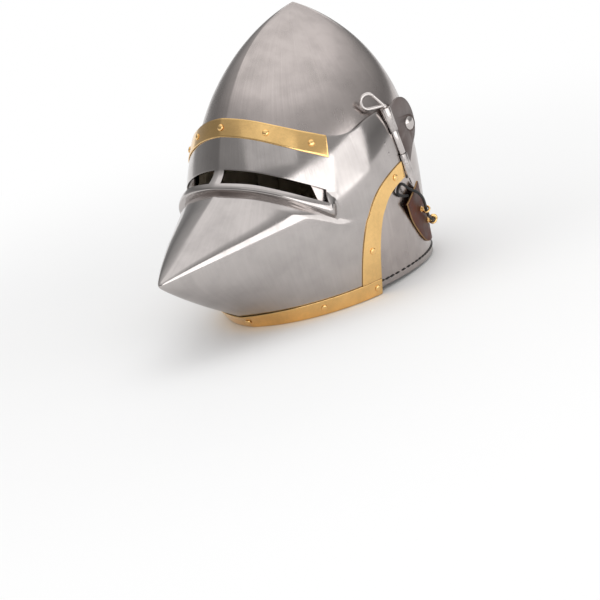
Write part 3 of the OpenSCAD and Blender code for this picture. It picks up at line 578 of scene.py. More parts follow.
def turned_disc(radius, height, crown, segments, rounding):
    """A round head in millimetres: a cylinder whose top is inset and raised to a crown."""
    radius, height, crown, rounding = [c * MM for c in (radius, height, crown, rounding)]
    only()
    bpy.ops.mesh.primitive_cylinder_add(vertices=segments, radius=radius, depth=height,
                                        end_fill_type="NGON")
    obj = bpy.context.active_object
    obj.data.transform(Matrix.Translation((0, 0, height / 2)))
    edit_faces(obj, [f.normal.z > 0.9 for f in obj.data.polygons])
    levels = [crown * math.sqrt(1 - (1 - k / CROWN_STEPS) ** 2) for k in range(CROWN_STEPS)]
    for low, high in zip(levels, levels[1:]):
        bpy.ops.mesh.inset(thickness=radius / CROWN_STEPS, depth=0)
        bpy.ops.transform.translate(value=(0, 0, high - low))
    mode("OBJECT")
    round_edges(obj, rounding, angle=50)
    return obj


def wire(name, points, radius, sides, radii=None):
    """A round wire along points in millimetres, its radius in metres: a curve made a mesh."""
    data = bpy.data.curves.new(name, "CURVE")
    data.dimensions = "3D"
    data.bevel_depth = radius
    data.bevel_resolution = sides // 4 - 1
    data.use_fill_caps = True
    spline = data.splines.new("POLY")
    spline.points.add(len(points) - 1)
    for k, p in enumerate(points):
        spline.points[k].co = (*(np.asarray(p) * MM), 1)
        spline.points[k].radius = radii[k] if radii else 1.0
    only(link(bpy.data.objects.new(name, data)))
    bpy.ops.object.convert(target="MESH")
    obj = bpy.context.active_object
    smooth_shade(obj, 60)
    return obj


def paint(obj, *finishes):
    obj.data.materials.clear()
    for m in finishes:
        obj.data.materials.append(m)


def settle(obj, body, slot, *nodes):
    """Says which body a piece rides on and the CAD nodes that it stands for; its slot is not used.
    """
    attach(obj, body)
    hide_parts(*nodes)


def dress(obj, body, slot, finish, *nodes):
    paint(obj, finish)
    settle(obj, body, slot, *nodes)


def softened(name, node, rounding, body, *finishes, angle=35):
    """A bevelled and dressed copy of a CAD node of the hinges; the rounding is in millimetres."""
    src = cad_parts[node]
    obj = src.copy()
    obj.data = src.data.copy()
    for key in list(obj.keys()):
        del obj[key]
    obj.parent = None
    link(named(obj, name))
    obj.hide_render = False
    edit(obj, lambda: bpy.ops.mesh.remove_doubles(threshold=1e-6),
         lambda: bpy.ops.mesh.dissolve_limited(angle_limit=math.radians(1.0)))
    round_edges(obj, rounding * MM, angle=angle, shade=32)
    paint(obj, *finishes)
    settle(obj, body, "hinge_steel", node)
    return obj


# Finishes. Shared effects are node groups; the shader itself stays in each material.

VALUE, VECTOR = "NodeSocketFloat", "NodeSocketVector"


def feed(tree, n, ins):
    """Fills a node's inputs: a socket is linked, anything else is set as a value."""
    for key, value in ins.items():
        if isinstance(value, NodeSocket):
            tree.links.new(value, n.inputs[key])
        else:
            n.inputs[key].default_value = value
    return n


def add(tree, kind, ins, **settings):
    n = tree.nodes.new("ShaderNode" + kind)
    for key, value in settings.items():
        setattr(n, key, value)
    return feed(tree, n, ins)


def maths(tree, operation, *ins):
    return add(tree, "Math", dict(enumerate(ins)), operation=operation).outputs[0]


def noise(tree, vector, scale, detail=4, rough=0.55):
    ins = {"Vector": vector, "Scale": scale, "Detail": detail, "Roughness": rough}
    return add(tree, "TexNoise", ins).outputs["Fac"]


def spread(tree, value, low, high, out_low=0.0, out_high=1.0, **settings):
    ins = {"Value": value, "From Min": low, "From Max": high, "To Min": out_low, "To Max": out_high}
    return add(tree, "MapRange", ins, **settings).outputs["Result"]


def blend(tree, factor, first, second):
    ins = {"Factor": factor, "A": (*first, 1), "B": (*second, 1)}
    return add(tree, "Mix", ins, data_type="RGBA").outputs["Result"]


def bump(tree, height, distance, strength=1.0, **below):
    ins = {"Height": height, "Distance": distance, "Strength": strength, **below}
    return add(tree, "Bump", ins).outputs["Normal"]


def scaled(colour, by):
    return [min(1, c * by) for c in colour]


def group(name, inputs, outputs):
    """A shader group with its sockets; an input with a default is a value, another is a vector."""
    g = bpy.data.node_groups.new(name, "ShaderNodeTree")
    for label, default in inputs.items():
        kind = VECTOR if default is None else VALUE
        s = g.interface.new_socket(name=label, in_out="INPUT", socket_type=kind)
        if default is not None:
            s.default_value = default
    for label, kind in outputs.items():
        g.interface.new_socket(name=label, in_out="OUTPUT", socket_type=kind)
    return g, g.nodes.new("NodeGroupInput").outputs, g.nodes.new("NodeGroupOutput")


def marks_group():
    """Fine brush marks, on coordinates that are stretched before they come in."""
    g = bpy.data.node_groups.get("brush_marks")
    if not g:
        g, i, o = group("brush_marks", {"Vector": None}, {"Marks": VALUE})
        fine = noise(g, i["Vector"], 1.0, 5, 0.7)
        feed(g, o, {"Marks": spread(g, fine, 0.3, 0.7)})
    return g


def around_group():
    """Coordinates round an upright axis: the angle across the brush marks, the height along."""
    g = bpy.data.node_groups.get("around_axis")
    if not g:
        ins = {"Vector": None, "Axis Y": 0.1, "Across": 60.0, "Along": 9.0}
        g, i, o = group("around_axis", ins, {"Vector": VECTOR})
        p = add(g, "SeparateXYZ", {0: i["Vector"]}).outputs
        angle = maths(g, "ARCTAN2", p["X"], maths(g, "SUBTRACT", p["Y"], i["Axis Y"]))
        turned = add(g, "CombineXYZ", {"X": maths(g, "MULTIPLY", angle, i["Across"]),
                                       "Z": maths(g, "MULTIPLY", p["Z"], i["Along"])})
        feed(g, o, {"Vector": turned.outputs[0]})
    return g


def handling_group():
    """Smudges from handling, and the slow waves of hammered plate."""
    g = bpy.data.node_groups.get("handling")
    if not g:
        g, i, o = group("handling", {"Vector": None, "Wave Scale": 16.0},
                        {"Smudge": VALUE, "Waves": VALUE})
        smudge = noise(g, i["Vector"], 34, 3, 0.5)
        waves = noise(g, i["Vector"], i["Wave Scale"], 1.5, 0.4)
        feed(g, o, {"Smudge": spread(g, smudge, 0.42, 0.7), "Waves": waves})
    return g


def start_material(name):
    """A new material, its nodes, its object coordinates and its shader."""
    m = bpy.data.materials.new(name)
    m.use_nodes = True
    t = m.node_tree
    return m, t, add(t, "TexCoord", {}).outputs["Object"], t.nodes["Principled BSDF"]


METALS = {  # marks and waves are depths in metres; around is an axis and the scales round it
    "brushed_skull": dict(colour="steel", rough=0.25, marks=2e-5, waves=1e-4, dull=0.28,
                          around=(0.1, 55.0, 8.0)),
    "polished_visor": dict(colour="visor", rough=0.15, marks=9e-6, waves=1.3e-4,
                           dull=0.22, around=(0.06, 60.0, 12.0)),
    # Painted shade: the dark hinge steel, with a filed grain.
    "filed_arm": dict(colour="hinge_steel", rough=0.36, vary=0.08, marks=1.4e-5,
                      waves=5e-5, dull=0.3, stretch=(800, 800, 30)),
    # Painted highlight: the visor steel made lighter on the arms' knuckles.
    "hammered_barrel": dict(colour="visor", painted_lighter=1.3, rough=0.24, vary=0.1,
                            marks=7e-5, waves=2.6e-4, wave_scale=210.0, dull=0.6,
                            stretch=(420, 420, 260)),
    # Painted highlight: the visor steel made lighter, for the pins, the pivots, the leaves'
    # knuckles and the visor's cut edges.
    "bright_pin": dict(colour="visor", painted_lighter=1.25, rough=0.18, marks=5e-6,
                       waves=3e-5, dull=0.15, stretch=(600,) * 3),
    "polished_brass": dict(colour="brass", rough=0.18, marks=6e-6, waves=1e-4, dull=0.25,
                           stretch=(260,) * 3),
    "turned_brass": dict(colour="brass", rough=0.17, vary=0.05, marks=5e-6,
                         waves=3e-5, dull=0.18, stretch=(400,) * 3),
}
CLOTHS = {
    "cut_leather": dict(colour="raw_edge", thread=500, rough=0.7, depth=2e-4),
    "waxed_thread": dict(colour="cord", thread=420, rough=0.45, depth=3e-4),
    "quilted_linen": dict(colour="linen", thread=330, rough=0.85, depth=2.5e-4),
}


def metal(name):
    return bpy.data.materials.get(name) or new_metal(name, **METALS[name])


def cloth(name):
    return bpy.data.materials.get(name) or new_cloth(name, **CLOTHS[name])


def leather():
    return bpy.data.materials.get("tanned_leather") or new_leather("tanned_leather")


def new_metal(name, colour, rough, marks, waves, dull, vary=0.06, painted_lighter=1.0, wave_scale=16.0,
              stretch=None, around=None):
    """Brushed and polished metal with handling marks and a faint hammered wave; a colour scaled
    lighter paints a highlight.
    """
    m, t, place, bsdf = start_material(name)
    if around:
        turn = dict(zip(("Axis Y", "Across", "Along"), around), Vector=place)
        lines = add(t, "Group", turn, node_tree=around_group()).outputs["Vector"]
    else:
        lines = add(t, "Mapping", {"Vector": place, "Scale": stretch}).outputs["Vector"]
    brush = add(t, "Group", {"Vector": lines}, node_tree=marks_group()).outputs["Marks"]
    ins = {"Vector": place, "Wave Scale": wave_scale}
    hand = add(t, "Group", ins, node_tree=handling_group()).outputs
    brushed = maths(t, "MULTIPLY", brush, 1 - SMUDGE_SHARE)
    wear = maths(t, "MULTIPLY_ADD", hand["Smudge"], SMUDGE_SHARE, brushed)
    hammered = bump(t, hand["Waves"], waves)
    clean = scaled(getattr(colours(), colour), painted_lighter)
    feed(t, bsdf, {
        "Metallic": 1.0,
        "Base Color": blend(t, wear, clean, scaled(clean, 1 - dull)),
        "Roughness": spread(t, wear, 0, 1, rough - vary, rough + vary),
        "Normal": bump(t, brush, marks, Normal=hammered)})
    return m


def new_cloth(name, colour, thread, rough, depth):
    """Woven or twisted fibre on object coordinates."""
    m, t, place, bsdf = start_material(name)
    ins = {"Vector": place, "Scale": thread, "Distortion": 1.5, "Detail": 2}
    waves = [add(t, "TexWave", ins, bands_direction=way) for way in ("Z", "DIAGONAL")]
    weave = maths(t, "MULTIPLY", *[w.outputs["Fac"] for w in waves])
    patches = spread(t, noise(t, place, 45, 5), 0.35, 0.75, 0, 0.5)
    tone = maths(t, "MULTIPLY_ADD", weave, 0.5, patches)
    base = getattr(colours(), colour)
    feed(t, bsdf, {
        "Base Color": blend(t, tone, scaled(base, 0.62), scaled(base, 1.15)),
        "Roughness": spread(t, tone, 0, 1, rough - 0.1, rough + 0.08),
        "Normal": bump(t, weave, depth, 0.9)})
    return m


def new_leather(name):
    """Dark leather with a fine grain, rubbed paler in patches."""
    m, t, place, bsdf = start_material(name)
    grain = add(t, "TexVoronoi", {"Vector": place, "Scale": 900}).outputs["Distance"]
    rubbed = spread(t, noise(t, place, 60, 6, 0.6), 0.4, 0.75)
    base = colours().leather
    feed(t, bsdf, {
        "Base Color": blend(t, rubbed, base, scaled(base, 2.3)),
        "Specular IOR Level": 0.22,
        "Roughness": spread(t, rubbed, 0, 1, 0.42, 0.68),
        "Normal": bump(t, grain, 2.5e-4, 0.8)})
    return m


# Operators, one for each piece or group of like pieces.

def round_face(col, face, side, edge, top, foot=0):
    """For the columns of a skin round the helmet: the count from the front, the angle, the lowest v
    that leaves the face open, and the side."""
    half = face + side
    s = np.where(col <= half, col, 2 * half - col)
    t = np.radians(90 * (1 - np.cos(np.pi / 2 * np.minimum(s / face, 1))))
    a = np.where(s <= face, edge * np.sin(t) ** ARCH, edge + (180 - edge) * (s - face) / side)
    low = foot + np.where(s < face, top * np.maximum(np.cos(t), 0) ** ARCH, 0)
    return s, a, low, np.where(col <= half, 1, -1)


class HELMET_OT_skull(Operator):
    """Models the pointed skull as one shell, open at the face"""
    bl_idname = "helmet.skull"
    bl_label = "Skull"

    def execute(self, context):
        face, side, low_rows, rows = 36, 64, 42, 80
        top = skull_v(FACE_TOP_Y, FACE_HEIGHT)
        mark = top + 0.08
        crown_v, crown_share = 0.85, 0.12
        plate = sizes().skull_plate / MM

        def spot(col, row):
            _, a, low, sign = round_face(col, face, side, FACE_ANGLE, top)
            v = np.where(row <= low_rows, low + (mark - low) * row / low_rows,
                         mark + (1 - mark) * (row - low_rows) / (rows - low_rows))
            return a, v, sign

        def outer(col, row):
            a, v, sign = spot(col, row)
            return mirrored(skull_pt(a, v), sign)

        def inner(col, row):
            a, v, sign = spot(col, row)
            crown = smooth((v - crown_v) / crown_share)[:, None]
            drop = np.array((0, 0, 2 * plate))
            sunk = skull_normal(a, v) * plate * (1 - crown) + drop * crown
            return mirrored(skull_pt(a, v) - sunk, sign)

        obj = double_skin("skull_shell", 2 * (face + side), rows, outer, inner)
        round_edges(obj, sizes().edge_round)
        dress(obj, "skull", "skull_steel", metal("brushed_skull"), "skull")
        return {"FINISHED"}


class HELMET_OT_visor(Operator):
    """Models the snouted visor with its sights and their lip"""
    bl_idname = "helmet.visor"
    bl_label = "Visor"

    def execute(self, context):
        bands = (34, 12, 26, 84)  # rows of the brow, the sight, the lip and the snout
        cols = (4, 46, 10, 30)  # columns of the bar, the sight, its end and the cheek
        stops = np.cumsum((0,) + bands)
        half, rows = sum(cols), sum(bands)
        turns = (KEEL, BAR_ANGLE, SIGHT_ANGLE, SIGHT_ANGLE + 7.5)
        key_a = np.concatenate([[KEEL]] + [np.linspace(p, q, n + 1)[1:]
                                           for p, q, n in zip(turns, turns[1:], cols)])
        fixed = len(key_a) - 1

        def row_z(i, a):
            lines = [line_z(c, a) for c in (BROW_LINE, SIGHT_LINE, LIP_LINE, FOLD_LINE)]
            lines.append(np.full_like(a, CHIN_EDGE))
            z = lines[0]
            for k, count in enumerate(bands):
                t = np.clip((i - stops[k]) / count, 0, 1)
                z = np.where(i > stops[k], lines[k] * (1 - t) + lines[k + 1] * t, z)
            return z

        def place(col, row):
            s = np.abs(col - half)
            i = (rows - row).astype(float)
            z_end = row_z(i, REAR_ANGLE)
            end = visor_angle(visor_rear(z_end), z_end)
            near = key_a[np.minimum(s, fixed)]
            f = np.clip((s - fixed) / cols[3], 0, 1)
            z = row_z(i, near + (REAR_ANGLE - key_a[-1]) * f)
            p = visor_pt(near + (end - key_a[-1]) * f, z)
            return mirrored(p, side_of(col, half))

        def drop(col, row):
            s = np.abs(col - half)
            i = rows - row
            return (i > stops[1]) & (i < stops[2]) & (s > cols[0]) & (s < cols[0] + cols[1])

        obj = sheet_of("visor_shell", 2 * half, rows, place, drop)
        face_out(obj, INSIDE)
        # The second material, a lighter steel, lies on the plate's cut edges: a painted highlight
        # round the sights and along the plate's outer edges.
        paint(obj, metal("polished_visor"), metal("bright_pin"))
        thicken(obj, sizes().visor_plate, sizes().edge_round * 1.5, 3, rim_raw_edge_and_highlight=1)
        settle(obj, "visor", "visor_steel", "visor")
        return {"FINISHED"}


class HELMET_OT_edging(Operator):
    """Models the brass strips on the brow, the chin and the cheeks"""
    bl_idname = "helmet.edging"
    bl_label = "Brass edging"

    def execute(self, context):
        top = sizes().strip_seat / MM + sizes().strip_plate / MM
        brow_half, chin_half, across, cheek_cols, cheek_rows = 60, 70, 10, 12, 90

        def lay(a, z, sign, lift=0.0):
            return mirrored(on_visor(a, z, top + lift), sign)

        def brow(col, row):
            a = KEEL + (BROW_STRIP_ANGLE - KEEL) * np.abs(col - brow_half) / brow_half
            z = line_z(BROW_LINE, a) - STRIP_INSET - brow_drop(a) * (1 - row / across)
            return lay(a, z, side_of(col, brow_half))

        def chin(col, row):
            z = CHIN_EDGE + STRIP_INSET + CHIN_STRIP * row / across
            end = visor_angle(visor_rear(z), z)
            a = KEEL + (end - KEEL) * np.abs(col - chin_half) / chin_half
            return lay(a, z, side_of(col, chin_half), CHIN_FLARE)

        def cheek(sign):
            low = CHIN_EDGE + 2 * STRIP_INSET + CHIN_STRIP

            def place(col, row):
                t = (1 - row / cheek_rows) ** 2
                ze = low + (CORNER_Z - low) * (1 - t)
                zi = low + (STRIP_TOP_Z - low) * (1 - t)
                f = col / cheek_cols
                z = zi * (1 - f) + ze * f
                y = cheek_front(zi) * (1 - f) + visor_rear(ze) * f
                return lay(visor_angle(y, z), z, sign)
            return place

        strips = [("brow", 2 * brow_half, across, brow), ("chin", 2 * chin_half, across, chin)]
        strips += [(side + "_cheek", cheek_cols, cheek_rows, cheek(s)) for side, s in SIDES]
        for name, cols, rows, place in strips:
            obj = sheet_of(name + "_edging", cols, rows, place)
            face_out(obj, INSIDE)
            thicken(obj, sizes().strip_plate, sizes().edge_round * 0.8)
            dress(obj, "visor", "edging_brass", metal("polished_brass"), name + "_strip")
        return {"FINISHED"}


def spot_matrix(a, z, lift, sign):
    """A place on the visor, standing on the edging."""
    return stand(mirrored(on_visor(a, z, lift), sign), mirrored(visor_normal(a, z), sign))


class HELMET_OT_rivets(Operator):
    """Models the brass rivet heads and their hammered ends inside the visor"""
    bl_idname = "helmet.rivets"
    bl_label = "Edging rivets"

    def execute(self, context):
        lift, keel_lift, sunk, keel_sunk = 1.4, 1.5, -1.95, -2.4
        over = Matrix.Rotation(math.pi, 4, "X")

        def brow(a):
            return float(line_z(BROW_LINE, a)) - STRIP_INSET - brow_drop(a) / 2

        def chin(a):
            return CHIN_EDGE + STRIP_INSET + CHIN_STRIP / 2

        def along(height, angles, flare=0.0):
            return [(KEEL, height(KEEL), keel_lift + flare, 1)] + [
                (a, height(a), lift + flare, s) for a in angles for _, s in SIDES]

        groups = [("brow_rivets", "brow_strip_rivets", along(brow, BROW_RIVETS)),
                  ("chin_rivets", "chin_strip_rivets", along(chin, CHIN_RIVETS, CHIN_FLARE))]
        for side, s in SIDES:
            spots = [(float(visor_angle(y, z)), z, lift, s) for y, z in CHEEK_RIVETS]
            groups.append((side + "_cheek_rivet_heads", side + "_cheek_rivets", spots))
        for name, node, spots in groups:
            dome = sizes().rivet_height / MM - RIVET_BASE
            head = turned_disc(sizes().rivet_radius / MM, RIVET_BASE, dome, 36, 0.12)
            heads = copies(name, head, [spot_matrix(*c) for c in spots])
            peen = turned_disc(2.4, 0.4, 0.5, 24, 0.1)
            inner = [spot_matrix(a, z, keel_sunk if a == KEEL else sunk, s) @ over
                     for a, z, _, s in spots]
            join(heads, copies(name + "_ends", peen, inner))
            dress(heads, "visor", "rivet_brass", metal("turned_brass"), node)
        return {"FINISHED"}


def mark_barrel(obj, sign):
    """Gives the knuckles round a hinge pin the second material, a lighter steel that is a painted
    highlight.
    """
    for f in obj.data.polygons:
        c = mirrored(np.array(f.center) / MM, sign) - HINGE_FOOT
        f.material_index = int(np.linalg.norm(np.cross(c, HINGE_DIR)) < BARREL_REACH)


class HELMET_OT_hinges(Operator):
    """Softens the edges of the hinge arms, the visor's leaves and their rivets"""
    bl_idname = "helmet.hinges"
    bl_label = "Hinge arms and leaves"

    def execute(self, context):
        for side, sign in SIDES:
            # The arms take the dark steel, a painted shade; their knuckles and the leaves' knuckles
            # take lighter steel, a painted highlight.
            arm = softened(side + "_arm", side + "_hinge_arm", 0.45, "visor",
                           metal("filed_arm"), metal("hammered_barrel"))
            leaf = softened(side + "_leaf", side + "_visor_leaf", 0.3, "visor",
                            metal("polished_visor"), metal("bright_pin"))
            for plate in (arm, leaf):
                mark_barrel(plate, sign)
            softened(side + "_leaf_rivet_ends", side + "_leaf_rivets", 0.12, "visor",
                     metal("polished_visor"))
        return {"FINISHED"}


class HELMET_OT_pins(Operator):
    """Models the pull-out hinge pins, each bent from one wire into a loop"""
    bl_idname = "helmet.pins"
    bl_label = "Hinge pins"

    def loop(self, head):
        """The route of the wire from the pin's head, round the loop and back."""
        fore = np.array((-math.sin(LOOP_TURN), -math.cos(LOOP_TURN), 0))
        up = np.array((0, 0, 1.0))
        middle = head + LOOP_LEAN[0] * fore + LOOP_LEAN[1] * up
        start = math.atan2(LOOP_LEAN[1], LOOP_LEAN[0]) + math.pi + LOOP_START
        route = [head - HINGE_DIR, head + HINGE_DIR * 0.4]
        for k in range(LOOP_STEPS + 1):
            f = k / LOOP_STEPS
            ang = start + LOOP_SWEEP * f
            ring = LOOP_RADIUS * (math.cos(ang) * fore + math.sin(ang) * up)
            route.append(middle + ring + (f - 0.5) * np.cross(fore, up))
        route += [head + 0.35 * (route[-1] - head), head + 0.1 * fore]
        return through(np.array(route), np.linspace(0, 1, 140))

    def execute(self, context):
        head = HINGE_FOOT + HINGE_DIR * (HINGE_LEN + LOOP_WIRE + 0.3)
        cap_height = 1.5
        for side, sign in SIDES:
            shaft = [mirrored(HINGE_FOOT + HINGE_DIR * h, sign) for h, _ in PIN_SHAFT]
            pin = wire(side + "_pin_wire", shaft, PIN_RADIUS, 20, [r for _, r in PIN_SHAFT])
            ring = wire(side + "_pin_loop", mirrored(self.loop(head), sign), LOOP_WIRE * MM, 16)
            cap = turned_disc(2.7, cap_height, 1.5, 28, 0.3)
            seat = stand(mirrored(head - HINGE_DIR * cap_height, sign), mirrored(HINGE_DIR, sign),
                         (1, 0, 0))
            join(pin, ring, copies(side + "_pin_crown", cap, [seat]))
            # The pins take the lighter steel, a painted highlight.
            dress(pin, side + "_pin", "hinge_steel", metal("bright_pin"), side + "_hinge_pin")
        return {"FINISHED"}


class HELMET_OT_pivots(Operator):
    """Softens the pivot rivets and their washers"""
    bl_idname = "helmet.pivots"
    bl_label = "Pivots"

    def execute(self, context):
        for side, _ in SIDES:
            # The pivot rivets take the lighter steel, a painted highlight; the washers take the
            # dark steel, a painted shade.
            softened(side + "_pivot", side + "_pivot_rivet", 0.5, "skull",
                     metal("bright_pin"), angle=30)
            softened(side + "_washer", side + "_pivot_washer", 0.3, "skull", metal("filed_arm"))
        return {"FINISHED"}


def band_pt(t, f):
    """Angle and v on the skull at a share of the band's length and of its width."""
    f = np.asarray(f)[..., None]
    return through(BAND_LOW, t) * (1 - f) + through(BAND_HIGH, t) * f


def band_under(t):
    """How far the band stands off the skull; its ends bow out."""
    return BAND_SEAT + BAND_BOW * smooth(1 - t / BOW_SHARE)


class HELMET_OT_band(Operator):
    """Models the leather band with its raw edge, the vervelles and the cord through them"""
    bl_idname = "helmet.band"
    bl_label = "Leather band, vervelles and cord"

    def execute(self, context):
        steps, across = 110, 12
        thick = sizes().leather / MM
        eye = BAND_SEAT + thick + RING_RADIUS + RING_WIRE + 0.9

        def place(col, row):
            t = 1 - np.abs(col - steps) / steps
            p = on_skull(*band_pt(t, row / across).T, band_under(t) + thick)
            return mirrored(p, np.where(col <= steps, 1, -1))

        band = sheet_of("leather_band", 2 * steps, across, place)
        face_out(band, (0, 0.08, 0.1))
        paint(band, leather(), cloth("cut_leather"))
        thicken(band, sizes().leather, 0.35 * MM, rim_raw_edge_and_highlight=1)
        settle(band, "skull", "leather", "aventail_band")

        rings = copies("vervelle_rings", self.vervelle(eye, thick), self.vervelle_places())
        dress(rings, "skull", "vervelle_brass", metal("turned_brass"), "vervelles")
        cord = wire("vervelle_lace", self.lace(eye), sizes().cord_radius, 12)
        dress(cord, "skull", "cord", cloth("waxed_thread"), "vervelle_cord")
        return {"FINISHED"}

    def vervelle(self, eye, thick):
        """One staple as a model: a ring, its stem and its foot on the leather."""
        only()
        bpy.ops.mesh.primitive_torus_add(major_radius=RING_RADIUS * MM, minor_radius=RING_WIRE * MM,
                                         major_segments=32, minor_segments=14)
        ring = bpy.context.active_object
        upright = Matrix.Rotation(math.pi / 2, 4, "X")
        ring.data.transform(Matrix.Translation((0, 0, eye * MM)) @ upright)
        smooth_shade(ring, 60)
        foot = turned_disc(3.4, 0.5, 0.5, 28, 0.15)
        foot.data.transform(Matrix.Translation((0, 0, (BAND_SEAT + thick + 0.1) * MM)))
        stem = turned_disc(1.8, eye - RING_RADIUS - BAND_SEAT, 0.1, 24, 0.1)
        stem.data.transform(Matrix.Translation((0, 0, BAND_SEAT * MM)))
        return join(ring, stem, foot)

    def vervelle_places(self):
        """Where the staples stand: in pairs along the band, and one at its middle."""
        places = []
        for t in VERVELLE_STEPS + (1.0,):
            back, c, ahead = [band_pt(min(1, t + d), VERVELLE_LINE) for d in (-0.02, 0, 0.02)]
            along = skull_pt(*ahead) - skull_pt(*back) if t < 1 else np.array((1.0, 0, 0))
            for _, s in (SIDES if t < 1 else SIDES[:1]):
                spot = (skull_pt(*c), skull_normal(*c), along)
                places.append(stand(*[mirrored(p, s) for p in spot]))
        return places

    def lace(self, eye):
        """The cord's route through the staples, sagging between them, and out at both ends."""
        count, bays = 160, len(VERVELLE_STEPS)
        k = np.arange(0, count + 1)
        t = 1 - (1 - VERVELLE_STEPS[0]) * k / count
        c = band_pt(t, VERVELLE_LINE)
        sag = CORD_SAG * (1 - np.cos(2 * np.pi * bays * k / count)) / 2
        held = on_skull(*c.T, eye - sag)
        start = band_pt(VERVELLE_STEPS[0], VERVELLE_LINE)
        lead = through(np.array([(*start, eye), *CORD_LEAD]), np.linspace(0, 1, 140)[1:])
        path = np.concatenate([held, on_skull(*lead.T)])
        return np.concatenate([mirrored(path[:0:-1], -1), path])


class HELMET_OT_liner(Operator):
    """Models the quilted liner and the stitches that hold it along the rim"""
    bl_idname = "helmet.liner"
    bl_label = "Liner and stitching"

    def execute(self, context):
        face, per, rows = 20, 8, 60
        side = sizes().channels * per
        top = skull_v(FACE_TOP_Y, FACE_HEIGHT) + 0.02
        foot, crown, edge_pad, edge_rows = 0.012, 0.84, 1.2, 4
        rim_gap, more_gap, sewn = 0.5, 2.6, 0.42
        plate, full = sizes().skull_plate / MM, sizes().liner / MM

        def skin(inner):
            def place(col, row):
                s, a, low, sign = round_face(col, face, side, FACE_ANGLE + 3, top, foot)
                v = low + (crown - low) * row / rows
                gap = rim_gap + more_gap * smooth((v - 0.06) / 0.12)
                channel = np.where(s > face, (s - face) / per, 2 * s / face)
                seam = np.abs(np.sin(np.pi * channel))
                pad = full * (sewn + (1 - sewn) * seam ** 0.6)
                ends = np.minimum(smooth(row / edge_rows), smooth((rows - row) / edge_rows))
                pad = edge_pad + (pad - edge_pad) * ends
                return mirrored(on_skull(a, v, -plate - gap - (pad if inner else 0)), sign)
            return place

        pad = double_skin("liner_quilt", 2 * (face + side), rows, skin(False), skin(True))
        smooth_shade(pad, 70)
        dress(pad, "skull", "liner_cloth", cloth("quilted_linen"), "liner")

        only()
        bpy.ops.mesh.primitive_uv_sphere_add(segments=10, ring_count=8, radius=1)
        stitch = context.active_object
        stitch.data.transform(Matrix.Diagonal(STITCH_SIZE))
        smooth_shade(stitch, 80)
        thread = copies("rim_stitches", stitch, self.stitch_places())
        dress(thread, "skull", "thread", cloth("waxed_thread"), "liner_stitching")
        return {"FINISHED"}

    def stitch_places(self):
        """Where the stitches lie along the rim, on both sides."""
        count, first, last = 34, FACE_ANGLE + 7, 179
        places = []
        for k in range(count):
            a, v = first + (last - first) * (k + 0.5) / count, STITCH_V
            along = skull_pt(a + 0.6, v + 5e-4) - skull_pt(a - 0.6, v - 5e-4)
            spot = (on_skull(a, v, 0.75), along, skull_normal(a, v))
            for _, s in SIDES:
                places.append(stand(*[mirrored(p, s) for p in spot]))
        return places


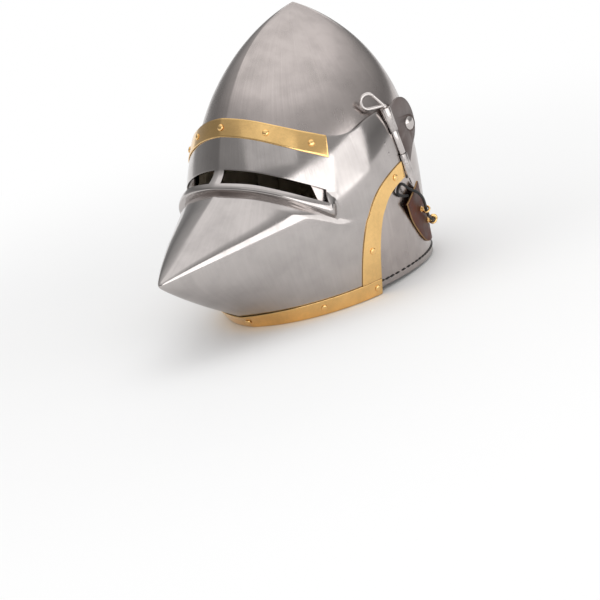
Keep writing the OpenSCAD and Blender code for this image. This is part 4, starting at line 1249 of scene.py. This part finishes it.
class HELMET_OT_stage(Operator):
    """Sets the floor, the lights, the world and the camera"""
    bl_idname = "helmet.stage"
    bl_label = "Stage"

    def execute(self, context):
        scene = context.scene
        scene.view_settings.view_transform = "Standard"
        cam = bpy.data.cameras.new("camera")
        cam.lens = LENS
        cam.sensor_width = SENSOR
        eye = link(bpy.data.objects.new("camera", cam))
        look = Vector(CAMERA_LOOK).normalized()
        right = look.cross(Vector(CAMERA_UP)).normalized()
        m = Matrix((right, right.cross(look), -look)).transposed().to_4x4()
        m.translation = Vector(CAMERA_PLACE)
        eye.matrix_world = m
        scene.camera = eye

        only()
        bpy.ops.mesh.primitive_plane_add(size=FLOOR_SIZE)
        floor = context.active_object
        floor.name = "floor"
        edit(floor, lambda: bpy.ops.mesh.subdivide(number_cuts=3))
        floor.data.materials.append(self.floor_finish())

        for name, place, size, power, shines in LAMPS:
            lamp = bpy.data.lights.new(name, "AREA")
            lamp.shape = "RECTANGLE"
            lamp.size, lamp.size_y = size
            lamp.energy = power
            o = link(bpy.data.objects.new(name, lamp))
            o.visible_glossy = shines
            o.location = place
            aim = Vector(LAMP_AIM) - Vector(place)
            o.rotation_euler = aim.to_track_quat("-Z", "Y").to_euler()
        self.world(scene)
        return {"FINISHED"}

    def floor_finish(self):
        """A pale floor that keeps the shadow near the helmet and runs to white far from it."""
        m, t, place, bsdf = start_material("studio_floor")
        feed(t, bsdf, {"Roughness": 0.9, "Base Color": (0.9, 0.9, 0.9, 1)})
        reach = add(t, "VectorMath", {0: place}, operation="LENGTH").outputs["Value"]
        far = spread(t, reach, 0.32, 1.0, interpolation_type="SMOOTHSTEP")
        path = add(t, "LightPath", {}).outputs
        seen = path["Is Camera Ray"]
        for label in ("Is Glossy Ray", "Is Transmission Ray"):
            seen = maths(t, "MAXIMUM", seen, path[label])
        glow = add(t, "Emission", {"Color": (1, 1, 1, 1), "Strength": 1.0})
        mix = add(t, "MixShader", {"Fac": maths(t, "MULTIPLY", seen, far),
                                   1: bsdf.outputs[0], 2: glow.outputs[0]})
        feed(t, t.nodes["Material Output"], {"Surface": mix.outputs[0]})
        return m

    def world(self, scene):
        """A pale studio with a darker ring of wall above the floor, lower at the back."""
        w = scene.world = bpy.data.worlds.new("studio")
        w.use_nodes = True
        t = w.node_tree
        p = add(t, "SeparateXYZ", {0: add(t, "TexCoord", {}).outputs["Generated"]}).outputs
        height = maths(t, "MULTIPLY_ADD", p["Y"], SKY_LEAN, p["Z"])
        ramp = add(t, "ValToRGB", {"Fac": height})
        elements = ramp.color_ramp.elements
        for stop, level in SKY:
            e = elements[int(stop)] if stop in (0.0, 1.0) else elements.new(stop)
            e.color = (level, level, level, 1)
        feed(t, t.nodes["Background"], {"Color": ramp.outputs["Color"], "Strength": SKY_STRENGTH})


class HELMET_PT_panel(Panel):
    """Lists the helmet's pieces, sizes and colours"""
    bl_idname = "HELMET_PT_panel"
    bl_label = "Visored bascinet"
    bl_space_type = "VIEW_3D"
    bl_region_type = "UI"
    bl_category = "Bascinet"

    def draw(self, context):
        for op in OPERATORS:
            self.layout.operator(op.bl_idname)
        for group_data in (context.scene.helmet_sizes, context.scene.helmet_colours):
            box = self.layout.box()
            for key in group_data.__annotations__:
                box.prop(group_data, key)


OPERATORS = (HELMET_OT_stage, HELMET_OT_skull, HELMET_OT_visor, HELMET_OT_edging, HELMET_OT_rivets,
             HELMET_OT_hinges, HELMET_OT_pins, HELMET_OT_pivots, HELMET_OT_band, HELMET_OT_liner)
CLASSES = (HelmetSizes, HelmetColours) + OPERATORS + (HELMET_PT_panel,)


def register():
    for c in CLASSES:
        bpy.utils.register_class(c)
    bpy.types.Scene.helmet_sizes = PointerProperty(type=HelmetSizes)
    bpy.types.Scene.helmet_colours = PointerProperty(type=HelmetColours)


def unregister():
    del bpy.types.Scene.helmet_colours
    del bpy.types.Scene.helmet_sizes
    for c in reversed(CLASSES):
        bpy.utils.unregister_class(c)


def main():
    register()
    bpy.ops.helmet.stage()
    bpy.ops.helmet.skull()
    bpy.ops.helmet.visor()
    bpy.ops.helmet.edging()
    bpy.ops.helmet.rivets()
    bpy.ops.helmet.hinges()
    bpy.ops.helmet.pins()
    bpy.ops.helmet.pivots()
    bpy.ops.helmet.band()
    bpy.ops.helmet.liner()


if __name__ == "__main__":
    main()
